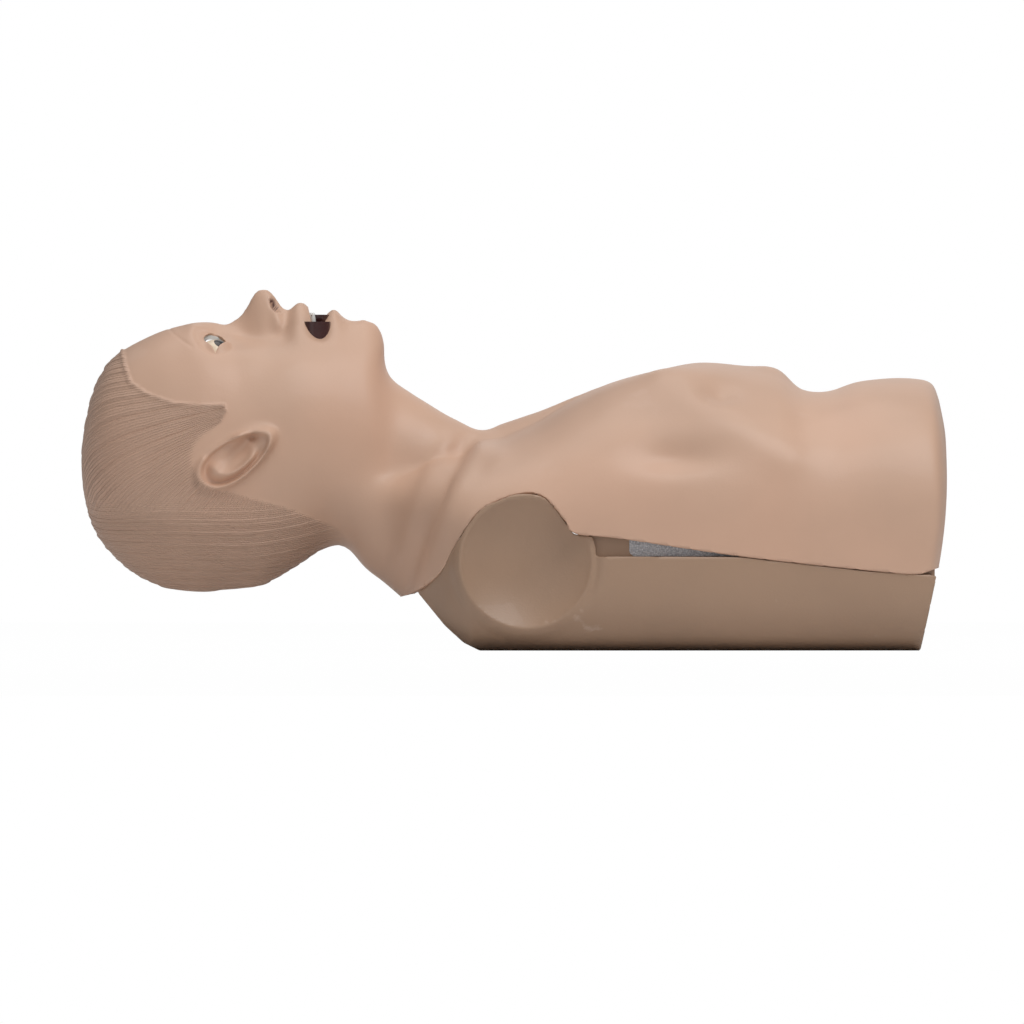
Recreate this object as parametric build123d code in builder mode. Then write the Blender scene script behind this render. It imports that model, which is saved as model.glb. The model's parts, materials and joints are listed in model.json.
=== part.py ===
from build123d import *

import os
from math import cos, exp, pi, radians, sin
from typing import NamedTuple

# Adult resuscitation training manikin: a head and torso that lies on its back.
# It lies along X, its crown at -X and its waist at +X, with the face up (+Z) and its width along Y.
# The plane Y = 0 is its mirror plane. The origin is on the table, below the middle of its length.
# All sizes are in millimetres.

# Overall length and the height of the table
CROWN_X = -337.0
WAIST_X = 336.6
FLOOR_Z = 0.0
WIDE = 400.0

# Walls
SKIN_WALL = 5.0
BASE_WALL = 4.5
SKULL_WALL = 3.0
SKULL_INSET = 5.5

# Clearances
SOFT_GAP = 0.5
PART_GAP = 0.3
RUNNING_GAP = 0.05

# Neck joint: the head rolls on the barrel-shaped top of the neck, about a pin along Y
NECK_X = -116.6
NECK_Z = 151.3
BARREL_R = 64.6
BARREL_HALF_WIDTH = 51.0
BARREL_EDGE_R = 46.5
BARREL_WALL = 5.0
PIN_R = 5.0
HUB_R = 13.0
HUB_HALF_WIDTH = 15.0
EAR_R = 16.0
EAR_T = 7.0
CLIP_R = 9.0
CLIP_T = 1.6

# Rim of the head, a slanted line in the side view from below the chin to the nape
RIM_CHIN = (-101.8, 214.6)
RIM_NAPE = (-132.2, 88.0)

# Bulkhead inside the skull and the beam that joins it to the neck hub
BULKHEAD_X = -184.0
BULKHEAD_T = 4.0
BEAM_HEIGHT = 18.0
BEAM_END_Z = 163.0

# Neck post and the bracket that holds the airway tube
POST_FOOT_X = 11.5
POST_FOOT_LENGTH = 58.0
POST_FOOT_HALF_WIDTH = 40.0
POST_FOOT_T = 6.0
POST_ROOT_LENGTH = 38.0
POST_BOLT_X = 19.0
POST_BOLT_Y = 31.0
WEB_X = -20.0
WEB_Z = 30.0
WEB_T = 6.0
WEB_HEIGHT = 20.0
BRACKET_X = -60.0
BRACKET_T = 5.0
BRACKET_FOOT_Z = 84.0
BRACKET_TOP_Z = 163.0
TUBE_R = 6.0
TUBE_WALL = 1.5
TUBE_Z = 152.0
TUBE_START_X = -88.0
TUBE_END_X = 50.0

# Arm socket: a round dish in each shoulder of the base
SOCKET_X = 9.0
SOCKET_Z = 68.6
SOCKET_R = 50.0
SOCKET_DEPTH = 15.0
SOCKET_PAD_R = 54.0
SOCKET_FACE_Y = 161.5
SOCKET_BACK_Y = 141.0

# Chest compression unit
SPRING_X = 130.0
PLUNGER_R = 15.0
PLUNGER_BOTTOM_Z = 92.0
PLUNGER_DISC_R = 40.0
PLUNGER_DISC_T = 6.0
PLUNGER_DISC_Z = 178.0
GUIDE_R = 20.0
GUIDE_TOP_Z = 116.0
SLIDE_GAP = 0.5
SPRING_R = 31.0
WIRE_W = 4.0
WIRE_H = 4.6
SPRING_TURNS = 7
SPRING_SIDES = 14
SEAT_R = 40.0
SEAT_Z = 62.0
SEAT_T = 5.0
SEAT_LIP_T = 2.5
SEAT_LIP_H = 6.0
PEDESTAL_WALL = 4.0
FOOT_R = 66.0
FOOT_T = 6.0
PEDESTAL_ROOT_R = 50.0
FOOT_SCREW_R = 58.5

# Rib plate and lung bag
RIB_START_X = 76.0
RIB_END_X = 196.0
RIB_TOP_Z = 198.5
RIB_HALF_WIDTH = 82.0
RIB_DROP = 17.0
RIB_T = 4.5
RIB_BOSS_R = 31.0
RIB_CORNER_R = 20.0
RIB_SLOT_X = 26.0
RIB_SLOT_WIDTH = 8.0
RIB_SLOT_LENGTH = 34.0
RIB_SLOT_Y = 60.0
RIB_SCREW_R = 21.5
LUNG_START_X = 84.0
LUNG_END_X = 188.0
LUNG_HALF_WIDTH = 66.0
LUNG_T = 3.6
LUNG_CORNER_R = 26.0

# Base tray
TRAY_INSET = 1.0
BAND_INSET = 8.8
FLOOR_T = 4.0
LEDGE_Z = 72.8
BAND_TOP_Z = 100.0
SHOULDER_TOP_Z = 128.0
TRAY_FOOT_X = 314.7
TRAY_END_X = 327.6
BAND_END_X = 326.0

BASE_CORNER_R = 34.0
RIM_OVERLAP = 4.0
BAND_CUT_TOP = (-112.0, 218.0)
BAND_CUT_LOW = (-166.0, 109.8)

# Plan of the hollow inside the base, as (x, half width): below the ledge and above it
LOW_CAVITY = [
    (-62, 90),
    (-47, 120),
    (-30, 134),
    (-8, 146),
    (20, 153),
    (60, 155),
    (150, 153),
    (320, 143),
]
HIGH_CAVITY = [
    (-120, 20),
    (-62, 84),
    (-47, 112),
    (-30, 127),
    (-8, 139),
    (20, 145),
    (60, 147),
    (150, 146),
    (BAND_END_X - BASE_WALL, 136),
]

# Hook-and-loop strips that hold the chest skin to the base
STRIP_X = 89.0
STRIP_LENGTH = 150.0
STRIP_Z = 73.2
STRIP_HEIGHT = 22.0
STRIP_T = 1.5
STRIP_GAP = 0.1
STRIP_CORNER_R = 5.0
LOOP_Z = 90.0
LOOP_HEIGHT = 9.0
LOOP_INSET = 7.1

# Screws
SCREW_R = 3.0
SCREW_HEAD_R = 5.5
SCREW_HEAD_T = 3.0
SCREW_BITE = 3.0

POST_BOLTS = [
    (POST_FOOT_X - POST_BOLT_X, -POST_BOLT_Y),
    (POST_FOOT_X - POST_BOLT_X, POST_BOLT_Y),
    (POST_FOOT_X + POST_BOLT_X, -POST_BOLT_Y),
    (POST_FOOT_X + POST_BOLT_X, POST_BOLT_Y),
]
FOOT_SCREWS = [
    (SPRING_X - FOOT_SCREW_R, 0.0),
    (SPRING_X, -FOOT_SCREW_R),
    (SPRING_X + FOOT_SCREW_R, 0.0),
    (SPRING_X, FOOT_SCREW_R),
]
RIB_SCREWS = [
    (SPRING_X - RIB_SCREW_R, 0.0),
    (SPRING_X, -RIB_SCREW_R),
    (SPRING_X + RIB_SCREW_R, 0.0),
    (SPRING_X, RIB_SCREW_R),
]

# Eyes
EYE_X = -233.0
EYE_Y = 32.0
EYE_Z = 225.0
EYE_R = 13.0
EYE_LID_R = 10.4
EYE_STEPS = [12, 40, 68, 90, 108, 126, 144, 160, 172]
EYE_SIDES = 20

# Mouth, held open: a lined slot with teeth, tongue and throat
MOUTH_X = -154.0
MOUTH_HALF_WIDTH = 25.0
MOUTH_GAPE = 21.0
MOUTH_WALL = 2.0
MOUTH_FLOOR_Z = 222.0
MOUTH_RIM_Z = 256.0
MOUTH_CORNER_R = 8.0
THROAT_X = -157.0
THROAT_END_Z = 197.0
TEETH = 6
TOOTH_PITCH = 6.0
TOOTH_WIDTH = 5.4
TOOTH_T = 4.0
GUM_Z = 243.0
GUM_H = 6.0
TOOTH_H = 14.0
LOWER_TOOTH_DROP = 3.0
TONGUE_X = -148.6
TONGUE_HALF_WIDTH = 13.0
TONGUE_LENGTH = 5.4
TONGUE_H = 14.0

# Ears
EAR_X = -217.0
EAR_Z = 150.0
EAR_LONG = 39.0
EAR_SHORT = 20.0
EAR_TURN = 36.0
EAR_ROOT_Y = 64.0
EAR_OUT_Y = 83.0
EAR_EDGE_R = 4.0
CONCHA_LONG = 23.0
CONCHA_SHORT = 11.0
CONCHA_DEPTH = 9.0


class HeadStation(NamedTuple):
    """One cross-section of the head, square to X."""

    x: float
    face: float  # height of the face beside the nose and lips
    ridge: float  # how far the nose, lips or chin stand above the face
    ridge_width: float  # half the width of that ridge
    half_width: float
    side_z: float  # height where the head is widest
    bottom: float
    taper: float  # above 1 where the jaw narrows upwards


HEAD = [
    HeadStation(CROWN_X, 158.0, 0.0, 20.0, 18.0, 148.0, 138.0, 0.92),
    HeadStation(-334.5, 176.0, 0.0, 20.0, 35.0, 148.0, 116.0, 0.92),
    HeadStation(-327.5, 204.0, 0.0, 20.0, 52.5, 146.0, 94.5, 0.92),
    HeadStation(-313.0, 227.5, 0.0, 20.0, 66.0, 142.0, 74.5, 0.92),
    HeadStation(-292.0, 241.2, 0.0, 20.0, 73.8, 139.0, 57.6, 0.92),
    HeadStation(-266.0, 251.6, 0.0, 20.0, 77.0, 138.0, 47.8, 0.92),
    HeadStation(-242.0, 255.8, 0.0, 20.0, 76.5, 140.0, 46.0, 0.92),
    HeadStation(-227.0, 252.0, 1.5, 9.0, 75.0, 144.0, 47.6, 0.92),
    HeadStation(-211.0, 245.0, 19.4, 9.0, 73.3, 149.0, 49.0, 0.93),
    HeadStation(-202.0, 244.5, 36.0, 12.0, 72.5, 152.0, 49.6, 0.94),
    HeadStation(-194.5, 245.0, 37.2, 14.0, 72.0, 154.0, 51.6, 0.95),
    HeadStation(-187.6, 246.5, 30.4, 16.0, 71.5, 155.0, 56.0, 0.97),
    HeadStation(-179.8, 249.5, 15.7, 17.0, 70.5, 156.0, 60.0, 1.0),
    HeadStation(-170.0, 252.2, 18.2, 25.0, 69.0, 156.0, 66.0, 1.03),
    HeadStation(-149.5, 254.0, 6.5, 31.0, 64.7, 155.0, 79.2, 1.12),
    HeadStation(-140.8, 253.5, 13.3, 28.0, 62.5, 153.0, 83.0, 1.18),
    HeadStation(-132.2, 252.0, 7.0, 26.0, 61.0, 150.0, 85.0, 1.24),
    HeadStation(-111.5, 247.5, 9.5, 24.0, 58.5, 152.0, 84.0, 1.42),
    HeadStation(-101.4, 236.0, 7.0, 18.0, 50.0, 172.0, 110.0, 1.7),
]
# The inside of the head follows only these
HEAD_INSIDE = [HEAD[k] for k in (0, 2, 4, 6, 9, 13, 16, 17, 18)]
HEAD_MIDDLE_X = (HEAD[0].x + HEAD[-1].x) / 2
HEAD_HALF_LENGTH = (HEAD[-1].x - HEAD[0].x) / 2


class TorsoStation(NamedTuple):
    """One cross-section of the neck and torso, square to X."""

    x: float
    top: float
    neck: float  # half the width of the neck
    shoulder_top: float
    half_width: float
    side_z: float  # height where the torso is widest
    bottom: float


TORSO = [
    TorsoStation(-131.0, 200.0, 47.0, 140.0, 44.0, 130.0, 88.0),
    TorsoStation(-123.0, 208.0, 49.5, 140.0, 46.0, 125.0, 70.5),
    TorsoStation(-102.0, 213.0, 51.0, 136.0, 57.0, 110.0, 53.0),
    TorsoStation(-48.0, 180.6, 56.0, 153.0, 146.0, 89.0, 8.0),
    TorsoStation(-31.0, 173.0, 62.0, 158.0, 158.0, 87.0, -5.0),
    TorsoStation(14.0, 184.4, 58.0, 176.0, 165.5, 87.0, -6.0),
    TorsoStation(74.0, 208.0, 10.0, 208.0, 166.0, 94.0, -6.0),
    TorsoStation(108.0, 217.4, 10.0, 217.4, 165.0, 97.0, -6.0),
    TorsoStation(148.0, 224.4, 10.0, 224.4, 163.0, 98.0, -6.0),
    TorsoStation(204.0, 217.0, 10.0, 217.0, 158.0, 97.0, -6.0),
    TorsoStation(226.0, 205.6, 10.0, 205.6, 156.0, 96.0, -6.0),
    TorsoStation(246.0, 204.6, 10.0, 204.6, 154.5, 95.0, -6.0),
    TorsoStation(272.0, 210.0, 10.0, 210.0, 153.0, 94.0, -6.0),
    TorsoStation(300.0, 212.2, 10.0, 212.2, 152.0, 94.0, -6.0),
    TorsoStation(328.0, 207.5, 10.0, 207.5, 150.0, 94.0, -6.0),
    TorsoStation(WAIST_X, 170.0, 10.0, 170.0, 128.0, 94.0, -6.0),
]
# The inside of the skin and the upper part of the base follow only these
TORSO_INSIDE = [TORSO[k] for k in (0, 1, 2, 3, 4, 5, 6, 8, 10, 12, 14, 15)]

# Lower edge of the skin over the arm socket, from the tip of the collar, in the side view
SKIN_ARCH = [
    (-89.3, 41.3),
    (-75.3, 46.8),
    (-58.1, 60.8),
    (-46.4, 81.9),
    (-26.9, 109.2),
    (4.3, 122.5),
    (25.0, 118.6),
    (39.4, 101.4),
    (50.0, 90.6),
]
SKIN_EDGE = [(50.0, 90.6), (82.3, 87.4), (175.9, 73.6), (300.0, 61.0), (318.0, 60.0), (345.0, 68.0)]
SKIN_TOP_Z = 240.0

SECTION_STEPS = [0, 9, 19, 30, 43, 57, 73, 90, 110, 130, 152, 180]
INSIDE_STEPS = [0, 14, 30, 48, 68, 90, 120, 150, 180]
TRAY_STEPS = [0, 25, 50, 70, 90, 110, 130, 145, 158, 168, 180]


def bump(distance, reach):
    """A smooth hill of height 1 that has sunk to about a third at its reach."""
    return exp(-((distance / reach) ** 2))


def closed_run(points):
    """One side of a section from top to bottom, and its mirror image back to the top."""
    return points + [(-y, z) for y, z in reversed(points[1:-1])]


def face_relief(x, y):
    """Eye hollows, cheekbones and brow, as a height to add."""
    eye_hollow = -8.0 * bump(x - EYE_X, 12.0) * bump(y - EYE_Y, 13.0)
    cheekbone = 3.5 * bump(x + 208.0, 13.0) * bump(y - 46.0, 12.0)
    brow = 2.0 * bump(x + 248.0, 8.0) * bump(y - 30.0, 18.0)
    return eye_hollow + cheekbone + brow


def head_points(station, inset, steps):
    """The outline of a head section. An inset section leaves out the nose and lips."""
    points = []
    half_width = station.half_width - inset
    top = station.face - inset
    bottom = station.bottom + inset
    for step in steps:
        across = abs(sin(radians(step)))
        along = abs(cos(radians(step)))
        if step <= 90:
            y = half_width * across**station.taper
            z = station.side_z + (top - station.side_z) * along**0.88 + face_relief(station.x, y)
        else:
            y = half_width * across ** (0.92 if station.taper < 1.2 else 0.84)
            z = station.side_z - (station.side_z - bottom) * along**0.94
        if step < 90 and inset == 0:
            z += station.ridge * exp(-((y / station.ridge_width) ** 2.4))
        points.append((y, z))
    points[-1] = (0.0, points[-1][1])
    return closed_run(points)


def chest_relief(x, y):
    """Chest muscles, the lower edge of the ribs and the hollow below it, as a height to add."""
    muscle = 5.0 * bump(x - 125.0, 50.0) * bump(y - 78.0, 32.0)
    rib_edge = 4.0 * bump(x - 195.0, 22.0) * bump(y - 80.0, 28.0)
    hollow = -3.0 * bump(x - 230.0, 20.0) * bump(y - 45.0, 40.0)
    return muscle + rib_edge + hollow


def torso_points(station, inset, steps):
    """The outline of a neck or torso section, where the neck runs into the shoulders."""
    points = []
    top = station.top - inset
    shoulder_top = max(station.side_z + 2.0, station.shoulder_top - inset)
    half_width = station.half_width - inset
    bottom = station.bottom + inset
    neck_half_width = max(1.0, station.neck - inset)
    for step in steps:
        level = cos(radians(step))
        if step <= 90:
            z = station.side_z + (top - station.side_z) * level
            rise = min(1.0, (z - station.side_z) / (shoulder_top - station.side_z))
            shoulder = half_width * (1 - rise**2.3) ** (1 / 2.3)
            neck = neck_half_width * (1 - max(0.0, level) ** 3) ** 0.5
        else:
            z = station.side_z + (station.side_z - bottom) * level
            shoulder = half_width * (1 - min(1.0, -level) ** 5) ** 0.2
            neck = neck_half_width * (1 - min(1.0, -level) ** 3) ** 0.4
        y = (shoulder**3.2 + neck**3.2) ** (1 / 3.2)
        if step < 90:
            z += chest_relief(station.x, y)
        points.append((y, z))
    points[0] = (0.0, points[0][1])
    points[-1] = (0.0, points[-1][1])
    return closed_run(points)


def faceted_solid(sections):
    """A closed solid over like-numbered section points: flat triangles between sections, flat ends."""
    faces = [Face(Wire.make_polygon(ring, close=True)) for ring in (sections[0], sections[-1])]
    for ring, after in zip(sections, sections[1:]):
        for k in range(len(ring)):
            corners = (ring[k - 1], ring[k], after[k], after[k - 1])
            faces.append(Face(Wire.make_polygon([corners[0], corners[1], corners[2]], close=True)))
            faces.append(Face(Wire.make_polygon([corners[0], corners[2], corners[3]], close=True)))
    return Solid(Shell(faces))


def head_form(inset, stations=HEAD_INSIDE, steps=INSIDE_STEPS):
    """The solid form of the head, drawn in on all sides by the inset."""
    scale = 1 - inset / HEAD_HALF_LENGTH
    rings = []
    for station in stations:
        x = HEAD_MIDDLE_X + (station.x - HEAD_MIDDLE_X) * scale
        rings.append([(x, y, z) for y, z in head_points(station, min(inset, 9.0), steps)])
    return faceted_solid(rings)


def eye_ball(side, radius):
    """A ball of flat faces at the place of one eye."""
    rings = []
    for step in EYE_STEPS:
        ring_r = radius * sin(radians(step))
        ring_z = EYE_Z - radius * cos(radians(step))
        turns = [2 * pi * k / EYE_SIDES for k in range(EYE_SIDES)]
        rings.append(
            [(EYE_X + ring_r * cos(t), side * EYE_Y + ring_r * sin(t), ring_z) for t in turns]
        )
    return faceted_solid(rings)


def torso_form(inset, stations=TORSO_INSIDE, steps=INSIDE_STEPS):
    """The solid form of the neck, shoulders and torso, drawn in by the inset."""
    return faceted_solid(
        [[(station.x, y, z) for y, z in torso_points(station, inset, steps)] for station in stations]
    )


def side_block(outline, half_width=WIDE):
    """A block whose side view is the outline, given as (x, z) points."""
    with BuildPart() as block:
        with BuildSketch(Plane.XZ):
            with BuildLine():
                Polyline(*outline, close=True)
            make_face()
        extrude(amount=half_width, both=True)
    return block.part


def rim_x(z, gap):
    """The place of the head's rim line at a height, moved along X by a gap."""
    slope = (RIM_CHIN[0] - RIM_NAPE[0]) / (RIM_CHIN[1] - RIM_NAPE[1])
    return RIM_NAPE[0] + slope * (z - RIM_NAPE[1]) + gap


def neck_barrel(radius, half_width):
    """The barrel about the neck pin on which the head rolls."""
    with BuildPart() as barrel:
        with BuildSketch(Plane(origin=(NECK_X, 0, NECK_Z), x_dir=(0, 1, 0), z_dir=(1, 0, 0))):
            with BuildLine():
                edge = BARREL_EDGE_R + half_width - BARREL_HALF_WIDTH
                Polyline((0, 0), (half_width, 0), (half_width, radius - edge))
                RadiusArc((half_width, radius - edge), (half_width - edge, radius), -edge)
                Polyline((half_width - edge, radius), (0, radius), (0, 0))
            make_face()
        revolve(axis=Axis((NECK_X, 0, NECK_Z), (0, 1, 0)))
        mirror(about=Plane.XZ)
    return barrel.part


def screws(name, places, head_z, shank_length, up=1.0):
    """A group of like screws along Z. Each head stands on head_z, on the side that up points to."""
    with BuildPart() as group:
        for x, y in places:
            with BuildSketch(Plane.XY.offset(head_z)):
                with Locations((x, y)):
                    RegularPolygon(SCREW_HEAD_R, 6)
            extrude(amount=up * SCREW_HEAD_T)
            with BuildSketch(Plane.XY.offset(head_z)):
                with Locations((x, y)):
                    Circle(SCREW_R)
            extrude(amount=-up * shank_length)
    group.part.label = name
    export_step(group.part, f"parts/{name}.step")
    return group.part


def finish(name, builder):
    """Label a finished sub-part and write it."""
    builder.part.label = name
    export_step(builder.part, f"parts/{name}.step")
    return builder.part


os.makedirs("parts", exist_ok=True)

# Regions in the side view
head_region = side_block(
    [
        (rim_x(-20, 0), -20),
        (rim_x(RIM_CHIN[1], 0), RIM_CHIN[1]),
        (-80, RIM_CHIN[1]),
        (-80, 320),
        (-380, 320),
        (-380, -20),
    ]
)

with BuildPart() as skin_region:
    with BuildSketch(Plane.XZ):
        with BuildLine():
            arch = Spline(*SKIN_ARCH)
            Polyline(
                *SKIN_EDGE,
                (SKIN_EDGE[-1][0], SKIN_TOP_Z),
                (rim_x(SKIN_TOP_Z, SOFT_GAP), SKIN_TOP_Z),
                (rim_x(FLOOR_Z, SOFT_GAP), FLOOR_Z),
                (SKIN_ARCH[0][0], FLOOR_Z),
                SKIN_ARCH[0],
            )
        make_face()
    extrude(amount=WIDE, both=True)

with BuildPart() as tray_region:
    with BuildSketch(Plane.XZ):
        with BuildLine():
            Spline(*[(x - 0.4, z - 1.4) for x, z in SKIN_ARCH[1:]])
            Polyline(
                (SKIN_ARCH[-1][0] - 0.4, SKIN_ARCH[-1][1] - 1.4),
                (57.0, LEDGE_Z),
                (174.0, LEDGE_Z),
                *[(x, z - 1.2) for x, z in SKIN_EDGE[3:5]],
                (TRAY_END_X, 61.0),
                (TRAY_FOOT_X, FLOOR_Z),
                (-26.0, FLOOR_Z),
                (-54.2, 19.5),
                (SKIN_ARCH[1][0] - 0.4, SKIN_ARCH[1][1] - 1.4),
            )
        make_face()
    extrude(amount=WIDE, both=True)

band_region = side_block(
    [
        (-78.0, 50.0),
        (-58.0, 92.0),
        (-42.0, 118.0),
        (-30.0, SHOULDER_TOP_Z),
        (42.0, SHOULDER_TOP_Z),
        (66.0, BAND_TOP_Z + 5),
        (78.0, BAND_TOP_Z),
        (BAND_END_X, BAND_TOP_Z),
        (BAND_END_X, 50.0),
        (60.0, 50.0),
        (-50.0, 20.0),
    ]
)
# Inside of the base below its ledge, before the front slope is kept
low_cavity_front = side_block(
    [
        (-19.0, FLOOR_T),
        (-47.0, 23.0),
        (-66.0, 46.0),
        (-66.0, 80.0),
        (TRAY_END_X, 80.0),
        (TRAY_END_X - 2 * BASE_WALL, LEDGE_Z - 17.0),
        (TRAY_FOOT_X - BASE_WALL, FLOOR_T),
    ]
)

# Base: an open tray, moulded in one piece with a stepped rim and a dish in each shoulder
with BuildPart() as low_cavity:
    with BuildSketch(Plane.XY.offset(FLOOR_T)):
        with BuildLine():
            Polyline(*LOW_CAVITY, (LOW_CAVITY[-1][0], 0), (LOW_CAVITY[0][0], 0), close=True)
        make_face()
        mirror(about=Plane.XZ)
    extrude(amount=LEDGE_Z - FLOOR_T - 9.0)
    fillet(low_cavity.faces().sort_by(Axis.Z)[0].edges(), BASE_CORNER_R)
    add(low_cavity_front, mode=Mode.INTERSECT)

with BuildPart() as high_cavity:
    with BuildSketch(Plane.XY.offset(LEDGE_Z - 23.0)):
        with BuildLine():
            Polyline(*HIGH_CAVITY, (HIGH_CAVITY[-1][0], 0), (HIGH_CAVITY[0][0], 0), close=True)
        make_face()
        mirror(about=Plane.XZ)
    extrude(amount=SKIN_TOP_Z)

# Pads that carry the arm sockets, where the skin leaves the base uncovered
with BuildPart() as socket_pads:
    for side in (-1, 1):
        with BuildSketch(Plane.XZ.offset(-side * SOCKET_BACK_Y)):
            with Locations((SOCKET_X, SOCKET_Z)):
                Circle(SOCKET_PAD_R)
        extrude(amount=-side * (SOCKET_FACE_Y - SOCKET_BACK_Y))
    add(tray_region.part, mode=Mode.INTERSECT)

with BuildPart() as torso_base:
    add((torso_form(TRAY_INSET, TORSO, TRAY_STEPS) & tray_region.part) + (torso_form(BAND_INSET) & band_region))
    add(low_cavity.part, mode=Mode.SUBTRACT)
    add(high_cavity.part, mode=Mode.SUBTRACT)
    add(socket_pads.part)
    bowl_r = (SOCKET_R**2 / SOCKET_DEPTH + SOCKET_DEPTH) / 2
    bowl_y = SOCKET_FACE_Y - SOCKET_DEPTH + bowl_r
    with Locations((SOCKET_X, -bowl_y, SOCKET_Z), (SOCKET_X, bowl_y, SOCKET_Z)):
        Sphere(bowl_r, mode=Mode.SUBTRACT)
    with Locations(*[(x, y, FLOOR_T) for x, y in POST_BOLTS + FOOT_SCREWS]):
        Cylinder(
            SCREW_R + RUNNING_GAP,
            SCREW_BITE + PART_GAP,
            align=(Align.CENTER, Align.CENTER, Align.MAX),
            mode=Mode.SUBTRACT,
        )
finish("torso_base", torso_base)

# Chest skin: one soft piece with the neck, whose end is a band of the barrel
inside_block = side_block(
    [(-200, -20), (-200, 260), (WAIST_X - SKIN_WALL, 260), (WAIST_X - SKIN_WALL, -20)]
)
band_block = side_block(
    [
        (rim_x(BAND_CUT_TOP[1], RIM_OVERLAP), BAND_CUT_TOP[1]),
        BAND_CUT_TOP,
        BAND_CUT_LOW,
        (BAND_CUT_LOW[0], NECK_Z - BARREL_R - 3),
        (rim_x(NECK_Z - BARREL_R - 3, RIM_OVERLAP), NECK_Z - BARREL_R - 3),
    ]
)
inner_x = RIM_OVERLAP + 1.0
inner_block = side_block(
    [(rim_x(260, inner_x), 260), (-250, 260), (-250, 20), (rim_x(20, inner_x), 20)]
)
barrel_outer = neck_barrel(BARREL_R, BARREL_HALF_WIDTH)
barrel_inner = neck_barrel(BARREL_R - BARREL_WALL, BARREL_HALF_WIDTH - BARREL_WALL)
neck_band = (barrel_outer & band_block) - (barrel_inner & inner_block)

with BuildPart() as chest_skin:
    add(torso_form(0, TORSO, SECTION_STEPS) - (torso_form(SKIN_WALL) & inside_block))
    add(skin_region.part, mode=Mode.INTERSECT)
    add(neck_band)
finish("chest_skin", chest_skin)

# Hook strips on the base and loop strips inside the skin, one of each on either side
hook_outer = torso_form(BAND_INSET - STRIP_T)
for side, name in ((-1, "right"), (1, "left")):
    with BuildPart() as hook_strip:
        with BuildSketch(Plane.XZ):
            with Locations((STRIP_X + STRIP_LENGTH / 2, STRIP_Z + STRIP_HEIGHT / 2)):
                RectangleRounded(STRIP_LENGTH, STRIP_HEIGHT, STRIP_CORNER_R)
        extrude(amount=-side * WIDE)
        add(hook_outer - torso_form(BAND_INSET), mode=Mode.INTERSECT)
    finish(f"hook_strip_{name}", hook_strip)

    with BuildPart() as loop_strip:
        with BuildSketch(Plane.XZ):
            with Locations((STRIP_X + STRIP_LENGTH / 2, LOOP_Z + LOOP_HEIGHT / 2)):
                Rectangle(STRIP_LENGTH, LOOP_HEIGHT)
        extrude(amount=-side * WIDE)
        add(torso_form(SKIN_WALL + STRIP_GAP) - torso_form(LOOP_INSET), mode=Mode.INTERSECT)
    finish(f"loop_strip_{name}", loop_strip)

# Neck post: a foot on the base floor and two ears that carry the neck pin
with BuildPart() as neck_post:
    with BuildSketch(Plane.XY.offset(FLOOR_T)):
        with Locations((POST_FOOT_X, 0)):
            RectangleRounded(POST_FOOT_LENGTH, 2 * POST_FOOT_HALF_WIDTH, 6)
    extrude(amount=POST_FOOT_T)
    foot_top = FLOOR_T + POST_FOOT_T
    with BuildSketch(Plane.XZ) as ear_profile:
        with BuildLine():
            Polyline(
                (POST_FOOT_X - POST_ROOT_LENGTH / 2, foot_top),
                (POST_FOOT_X + POST_ROOT_LENGTH / 2, foot_top),
                (NECK_X + EAR_R * 0.757, NECK_Z + EAR_R * 0.653),
                (NECK_X - EAR_R * 0.757, NECK_Z - EAR_R * 0.653),
                close=True,
            )
        make_face()
        with Locations((NECK_X, NECK_Z)):
            Circle(EAR_R)
            Circle(PIN_R + RUNNING_GAP, mode=Mode.SUBTRACT)
    ear_inner = HUB_HALF_WIDTH + PART_GAP
    extrude(amount=ear_inner + EAR_T, both=True)
    with BuildSketch(Plane.XZ):
        with BuildLine():
            Polyline((-160, foot_top), (60, foot_top), (60, 220), (-160, 220), close=True)
        make_face()
    extrude(amount=ear_inner, both=True, mode=Mode.SUBTRACT)
    with BuildSketch(Plane.XZ):
        with Locations((WEB_X, WEB_Z)):
            Rectangle(WEB_T, WEB_HEIGHT)
    extrude(amount=ear_inner, both=True)
    with BuildSketch(Plane.YZ.offset(BRACKET_X)):
        with Locations((0, (BRACKET_FOOT_Z + BRACKET_TOP_Z) / 2)):
            Rectangle(2 * (ear_inner + EAR_T), BRACKET_TOP_Z - BRACKET_FOOT_Z)
        with Locations((0, TUBE_Z)):
            Circle(TUBE_R + RUNNING_GAP, mode=Mode.SUBTRACT)
    extrude(amount=BRACKET_T / 2, both=True)
    with Locations(*[(x, y, foot_top) for x, y in POST_BOLTS]):
        Cylinder(SCREW_R + RUNNING_GAP, 3 * POST_FOOT_T, mode=Mode.SUBTRACT)
finish("neck_post", neck_post)
screws("neck_post_bolts", POST_BOLTS, foot_top, POST_FOOT_T + SCREW_BITE)

# Neck pin and its two retaining clips
pin_end = ear_inner + EAR_T + CLIP_T + 2 * PART_GAP
with BuildPart() as neck_pin:
    with BuildSketch(Plane.XZ):
        with Locations((NECK_X, NECK_Z)):
            Circle(PIN_R)
    extrude(amount=pin_end + 1.0, both=True)
finish("neck_pin", neck_pin)

with BuildPart() as neck_pin_clips:
    for side in (-1, 1):
        with BuildSketch(Plane.XZ.offset(-side * (ear_inner + EAR_T + RUNNING_GAP))):
            with Locations((NECK_X, NECK_Z)):
                Circle(CLIP_R)
                Circle(PIN_R + RUNNING_GAP / 2, mode=Mode.SUBTRACT)
        extrude(amount=-side * CLIP_T)
finish("neck_pin_clips", neck_pin_clips)

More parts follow.
